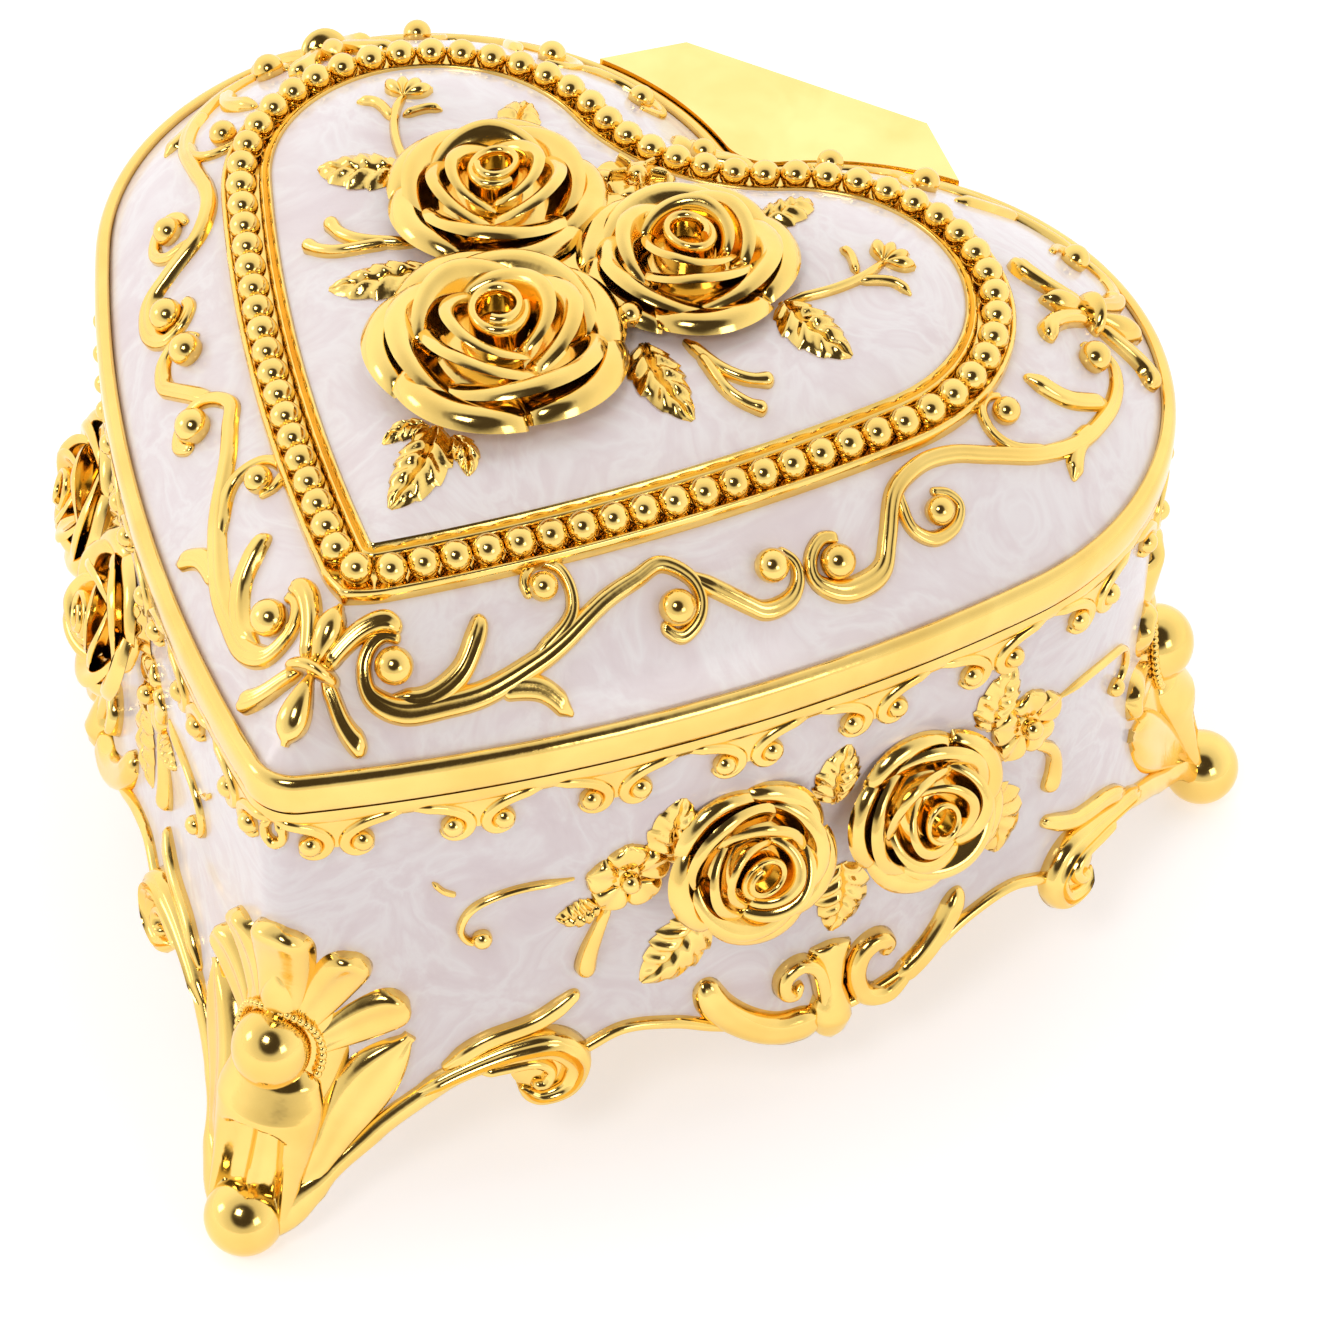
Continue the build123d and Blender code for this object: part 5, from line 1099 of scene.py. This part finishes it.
def wall_bouquets():
    """Two roses on each flank, leaning up, with leaves, two small flowers, drops and fine tendrils."""
    for flank, name in ((1.0, "right"), (-1.0, "left")):
        roses = Casting()
        for k, (s, z) in enumerate(WALL_ROSES):
            middle = np.array([flank * s, z])
            spot = on_wall(middle, np.array(0.0))
            out = on_wall(middle, np.array(1.0)) - spot
            right, up = level_axes(out)
            lean_up = cos(WALL_ROSE_TILT) * up - sin(WALL_ROSE_TILT) * out
            lean_out = cos(WALL_ROSE_TILT) * out + sin(WALL_ROSE_TILT) * up
            axes = np.stack([flank * right, lean_up, lean_out])
            rose(roses, spot + WALL_ROSE_LIFT * out, axes, WALL_ROSE_RADIUS, 0.5 + 0.9 * k)
        roses.make(name + "_wall_rose_work", "base", "gold", (name + "_wall_roses",), sharp=65.0)
        spray = Casting()
        for base, tip, half_width in WALL_LEAVES:
            spray.add(leaf(on_wall, *flipped((base, tip), flank), half_width, 1.15, bend=0.08 * flank))
        for half_width, height, start, swelling, *points in WALL_STEMS:
            line = flipped(points, flank)
            spray.add(stem(on_wall, line, half_width, height, start, 0.85, fade=-swelling, count=36))
        for place in flipped(TENDRIL_BALLS, flank):
            spray.add(ball_drop(on_wall, place, 1.0, 0.4))
        for s, z, radius in WALL_FLOWERS:
            flower(spray, on_wall, (flank * s, z), radius, 1.3)
        spray.make(name + "_wall_spray", "base", "gold", (name + "_wall_leaves",), sharp=65.0)


# Scroll work beside a leg, drawn from the leg
APRON_SCROLL = (
    ((12.0, 13.6), (15.7, 15.3), (19.2, 16.5), (22.6, 17.3), (26.1, 17.2))
    + ((28.2, 14.8), (27.3, 12.0), (24.6, 11.2), (22.6, 12.6))
)
APRON_FLUTE = ((18.0, 15.6), (21.4, 15.7), (24.2, 15.6), (25.6, 14.4), (25.0, 13.0), (23.6, 13.2))
APRON_LEAF = ((15.4, 16.4), (19.6, 18.8), (24.8, 20.0), (29.0, 22.4))
SCROLL_BACK = ((25.2, 11.2), (25.2, 18.0))
# Pendant between two legs: a shaft given by shares of its length, and its arms
SHAFT_FOOT = (54.0, 8.7)
SHAFT_RUN = (0.9, 10.8)
SHAFT_HALF = (
    ((0, 0.5), (0.05, 1.5), (0.2, 2.3), (0.34, 2.2), (0.55, 1.35))
    + ((0.8, 1.7), (0.92, 2.4), (0.97, 2.1), (1.0, 0.4))
)
SHAFT_HEIGHT = ((0, 1.0), (0.2, 2.2), (0.6, 1.5), (1, 1.2))
PENDANT_ARMS = (
    # half width, height, width of the start, width of the end, points
    (1.75, 1.6, 0.75, 0.6)
    + ((41.4, 19.8), (42.4, 16.6), (45.0, 13.6), (48.2, 11.6), (51.4, 11.2), (54.0, 11.4)),
    (0.95, 1.7, 0.7, 0.5)
    + ((53.6, 10.4), (53.6, 14.0), (53.0, 17.0), (51.4, 18.2), (49.7, 17.4), (49.5, 15.7), (50.7, 14.9))
    + ((51.5, 15.9),),
    (1.2, 1.7, 0.45, 0.7)
    + ((60.4, 15.3), (61.0, 16.7), (59.7, 17.8), (57.9, 16.9), (57.1, 14.6), (57.8, 12.2), (60.0, 11.3))
    + ((63.0, 12.4),),
    (1.35, 1.4, 0.5, 0.65, (61.0, 11.8), (64.4, 13.6), (67.2, 16.2), (69.4, 19.6)),
)


def apron_work():
    """Gold edge of the apron, the C scrolls beside each leg and the shell pendants between the legs."""
    edge = Casting()
    s = rim.stations(WALL_COUNTS)
    line = np.stack([s, apron_height(s) + 0.3], -1)
    width = 0.68 + 0.5 * np.clip((24.0 - from_leg(s)) / 10.0, 0, 1)
    top = 0.95 * half_round(np.linspace(-1, 1, 11)[None, :]) * (0.7 + 0.3 * width[:, None])
    edge.add(blade(on_wall, line, width, top, sink=1.2), ring=True)
    # the scroll swells in its bend, narrows to both ends and has flutes across
    t = np.linspace(0, 1, 84)
    swelling = 1.1 + 0.75 * np.exp(-(((t - 0.6) / 0.24) ** 2)) - 0.4 * t**4
    width = swelling * np.sqrt(np.clip(t / 0.12, 0.02, 1) * np.clip((1 - t) / 0.05, 0.02, 1))
    x = np.linspace(-1, 1, 13)[None, :]
    top = width[:, None] * (half_round(x) - 0.16 * np.cos(5 * pi * x) * (1 - x**2))
    for place in (0.0, leg_place, -leg_place):
        ground = beside(place)
        for way in (1.0, -1.0):
            edge.add(blade(ground, smooth(flipped(APRON_SCROLL, way), len(t)), width, 1.15 * top, sink=0.9))
            edge.add(petal_blade(ground, *flipped(SCROLL_BACK, way), 3.3, 0.7, blunt=1.0))
            edge.add(stem(ground, flipped(APRON_FLUTE, way), 0.8, 1.6, start=0.3, end=0.9, count=48))
            edge.add(stem(ground, flipped(APRON_LEAF, way), 1.0, 1.2, start=0.5, end=0.7, crease=0.15))
    edge.make("apron_edge", "base", "gold", ("apron_scrolls",), sharp=65.0)
    shells = Casting()
    t = np.linspace(0, 1, 30)
    top = along_table(t, SHAFT_HEIGHT)[:, None] * half_round(x)
    for flank in (1.0, -1.0):
        line = np.stack([flank * (SHAFT_FOOT[0] + SHAFT_RUN[0] * t), SHAFT_FOOT[1] + SHAFT_RUN[1] * t], -1)
        shells.add(blade(on_wall, line, along_table(t, SHAFT_HALF), top))
        for half_width, height, start, end, *points in PENDANT_ARMS:
            arm = stem(on_wall, flipped(points, flank), half_width, height, start, end, crease=0.12, count=48)
            shells.add(arm)
    shells.make("apron_shells", "base", "gold", ("apron_pendants",), sharp=65.0)


# A leg's work, drawn about its middle
LEG_PETALS = (
    # base, tip, half width, height, for the right of a leg
    ((2.6, 24.6), (8.0, 32.6), 2.8, 1.7),
    ((4.0, 22.0), (12.6, 25.4), 2.7, 1.7),
)
LEG_LEAF = ((1.0, 5.2), (12.6, 21.0))
CREST_PETAL = ((0.0, 24.5), (0.0, 37.0))
CREST_RIB = ((0.0, 23.6), (0.0, 31.0))
# Half width of the plate behind the petals, and half width and height of the hood, by height
LEG_PLATE = ((4.4, 1.3), (8.0, 2.3), (13.0, 4.6), (18.0, 6.4), (22.0, 6.6), (26.0, 5.0), (28.6, 2.2))
HOOD_HALF = ((4.2, 1.9), (8.0, 2.4), (12.0, 3.2), (15.5, 4.0), (18.0, 3.9), (19.6, 2.8))
HOOD_HEIGHT = ((4.2, 1.9), (8.0, 2.4), (12.0, 3.0), (14.5, 3.3), (18.0, 2.4), (19.6, 1.4))
NICHE_HALF = 1.3
NICHE_TOP_Z = 13.8
LEG_BOSS = (0.0, 21.6)
BOSS_RADII = (3.8, 3.8, 4.2)
ROPE_RADII = (4.0, 4.6)
ROPE_BEADS = 29
ROPE_START = -32
ROPE_SWEEP = 244


def hood(ground):
    """Hood over a niche: round across, its width and height set by Z, with an arched recess round a keel."""
    z = np.linspace(HOOD_HALF[-1][0], HOOD_HALF[0][0], 64)[:, None]
    x = np.linspace(-1, 1, 41)[None, :]
    half = along_table(z, HOOD_HALF)
    outer = along_table(z, HOOD_HEIGHT) * half_round(x)
    below = np.clip((NICHE_TOP_Z - z) / NICHE_HALF, 0, 1)
    recess = np.minimum(3 * below, 1) / (1 + np.exp((np.abs(x * half) - NICHE_HALF * np.sqrt(below)) / 0.1))
    back = np.minimum(0.2 + 0.8 * np.exp(-((x * half / 0.25) ** 2)), outer)
    return blade(ground, np.concatenate([0 * z, z], 1), half[:, 0], outer + (back - outer) * recess)


def legs():
    """Three legs: rolled petals over a roped boss, a hood with a niche, a leaf each side and a ball foot."""
    tip_ball, side_ball = rim.at(np.array([0.0, leg_place]), LEG_REACH - WALL_INSET)
    plate = smooth(LEG_PLATE, 44)
    plate_line = np.stack([0 * plate[:, 0], plate[:, 0]], -1)
    plate_top = np.interp(plate[:, :1], (NICHE_TOP_Z, NICHE_TOP_Z + 3), (0.15, 0.7))
    plate_top = plate_top * (1 - np.linspace(-1, 1, 21)[None, :] ** 6)
    for name, place, ball in (
        ("tip_leg", 0.0, tip_ball),
        ("right_leg", leg_place, side_ball),
        ("left_leg", -leg_place, side_ball * np.array([-1, 1])),
    ):
        ground = beside(place)
        work = Casting()
        work.add(globe((*ball, BALL_Z), BALL_RADIUS, 26, 40, floor=0.0))
        work.add(blade(ground, plate_line, plate[:, 1], plate_top, sink=1.0))
        work.add(rolled_petal(ground, *CREST_PETAL, 4.1, 1.9))
        work.add(petal_blade(ground, *CREST_RIB, 2.2, 1.5, blunt=0.8))
        for way in (1.0, -1.0):
            for base, tip, half_width, height in LEG_PETALS:
                work.add(rolled_petal(ground, *flipped((base, tip), way), half_width, height))
            base, tip = flipped(LEG_LEAF, way)
            work.add(petal_blade(ground, base, tip, 3.3, 1.9, 0.05 * way, dish=0.35, blunt=1.55, rows=40))
        work.add(hood(ground))
        work.add(globe(ground(np.array(LEG_BOSS), np.array(0.9)), BOSS_RADII, 22, 34))
        for k in range(ROPE_BEADS):
            a = radians(ROPE_START + ROPE_SWEEP * k / (ROPE_BEADS - 1))
            spot = (ROPE_RADII[0] * cos(a), LEG_BOSS[1] + ROPE_RADII[1] * sin(a))
            work.add(ball_drop(ground, spot, 0.46, 2.3))
        work.make(name + "_work", "base", "gold", (name,), sharp=65.0)


# Stage, with the floor and the lamps in metres

FLOOR_HALF = 3.0
FLOOR_COLOUR = (0.74, 0.72, 0.735, 1.0)
FLOOR_GLOW = 0.5
WHITE = (1.0, 1.0, 1.0, 1.0)
# The sky's colour by the cosine of the angle from the dark side, which lies behind the camera
DARK_SIDE = (0.274, -0.581, 0.766)
SKY = (
    (0.0, (1.22, 1.22, 1.23)),
    (0.4, (1.08, 1.08, 1.09)),
    (0.62, (0.92, 0.92, 0.92)),
    (0.78, (0.80, 0.79, 0.79)),
    (0.88, (0.06, 0.048, 0.04)),
    (1.0, (0.06, 0.048, 0.04)),
)
LAMP_TARGET = (0.0, 0.0, 0.04)
LAMPS = (
    # name, place, size, power
    ("front_window", (0.02, -0.42, 0.58), 0.17, 0.8),
    ("right_window", (0.66, -0.30, 0.34), 0.22, 0.45),
    ("left_window", (-0.66, -0.36, 0.36), 0.22, 0.45),
)
# The photograph's camera, its place in millimetres and its angles in degrees
CAMERA_PLACE = (168.773, -325.473, 402.184)
CAMERA_AZIMUTH = 25.28
CAMERA_HEIGHT_ANGLE = 45.615
CAMERA_ROLL = 2.0
CAMERA_LENS = 144.1
CAMERA_SENSOR = 36.0


def standing(right, up, back, place):
    """World matrix of something with these axes at a place."""
    matrix = np.eye(4)
    matrix[:3] = np.stack([right, up, back, place], -1)
    return Matrix(matrix.tolist())


def white_floor():
    """Pale floor that glows a little to what sees or mirrors it: it reads as white and keeps its shadow."""
    mesh = bpy.data.meshes.new("floor")
    corners = [(x * FLOOR_HALF, y * FLOOR_HALF, 0.0) for x, y in ((-1, -1), (1, -1), (1, 1), (-1, 1))]
    mesh.from_pydata(corners, [], [(0, 1, 2, 3)])
    floor = link("floor", mesh)
    material, tree, shader, _ = node_material("white_floor")
    shader.inputs["Base Color"].default_value = FLOOR_COLOUR
    shader.inputs["Roughness"].default_value = 0.9
    shader.inputs["Specular IOR Level"].default_value = 0.1
    shader.inputs["Emission Color"].default_value = WHITE
    path = tree.nodes.new("ShaderNodeLightPath")
    seen = None
    for ray in ("Is Camera Ray", "Is Glossy Ray", "Is Transmission Ray"):
        step = tree.nodes.new("ShaderNodeMath")
        step.operation = "MULTIPLY_ADD"
        step.inputs[1].default_value = FLOOR_GLOW
        step.inputs[2].default_value = 0.0
        tree.links.new(path.outputs[ray], step.inputs[0])
        if seen:
            tree.links.new(seen, step.inputs[2])
        seen = step.outputs["Value"]
    tree.links.new(seen, shader.inputs["Emission Strength"])
    mesh.materials.append(material)


def bright_tent():
    """Sky that is white to the camera and, for light and mirrors, bright all round but for its dark side."""
    world = bpy.data.worlds.new("studio")
    bpy.context.scene.world = world
    world.use_nodes = True
    tree = world.node_tree
    coords = tree.nodes.new("ShaderNodeTexCoord")
    toward = tree.nodes.new("ShaderNodeVectorMath")
    toward.operation = "DOT_PRODUCT"
    toward.inputs[1].default_value = DARK_SIDE
    tree.links.new(coords.outputs["Generated"], toward.inputs[0])
    path = tree.nodes.new("ShaderNodeLightPath")
    white = tree.nodes.new("ShaderNodeMix")
    white.data_type = "RGBA"
    white.inputs["B"].default_value = WHITE
    tree.links.new(path.outputs["Is Camera Ray"], white.inputs["Factor"])
    tree.links.new(ramp(tree, toward.outputs["Value"], SKY), white.inputs["A"])
    tree.links.new(white.outputs["Result"], tree.nodes["Background"].inputs["Color"])


def windows():
    """Three small square lamps that face the box."""
    for name, place, size, power in LAMPS:
        lamp = bpy.data.lights.new(name, "AREA")
        lamp.shape = "SQUARE"
        lamp.size = size
        lamp.energy = power
        back = np.array(place) - np.array(LAMP_TARGET)
        back = back / np.linalg.norm(back)
        link(name, lamp).matrix_world = standing(*level_axes(back), back, place)


def camera():
    """Camera of the photograph: looking down at the tip from the right, turned a little about its axis."""
    az, el, roll = radians(CAMERA_AZIMUTH), radians(CAMERA_HEIGHT_ANGLE), radians(CAMERA_ROLL)
    back = np.array([sin(az) * cos(el), -cos(az) * cos(el), sin(el)])
    right, up = level_axes(back)
    rolled = (cos(roll) * right + sin(roll) * up, cos(roll) * up - sin(roll) * right)
    lens = bpy.data.cameras.new("photo_camera")
    lens.lens = CAMERA_LENS
    lens.sensor_width = CAMERA_SENSOR
    lens.clip_start = 0.01
    viewer = link("photo_camera", lens)
    viewer.matrix_world = standing(*rolled, back, np.array(CAMERA_PLACE) * MM)
    bpy.context.scene.camera = viewer


lid_dome()
lid_trim()
lining_pad("lid_velvet", "lid", "lid_lining", LID_PAD_GROW, 0.5, True)
lid_scrolls()
lid_bouquet()
body_wall()
rim_swags()
wall_bouquets()
apron_work()
legs()
lining_pad("tray_velvet", "base", "floor_lining", TRAY_PAD_GROW, 0.7, False)
white_floor()
bright_tent()
windows()
camera()

bpy.context.scene.view_settings.view_transform = "Standard"
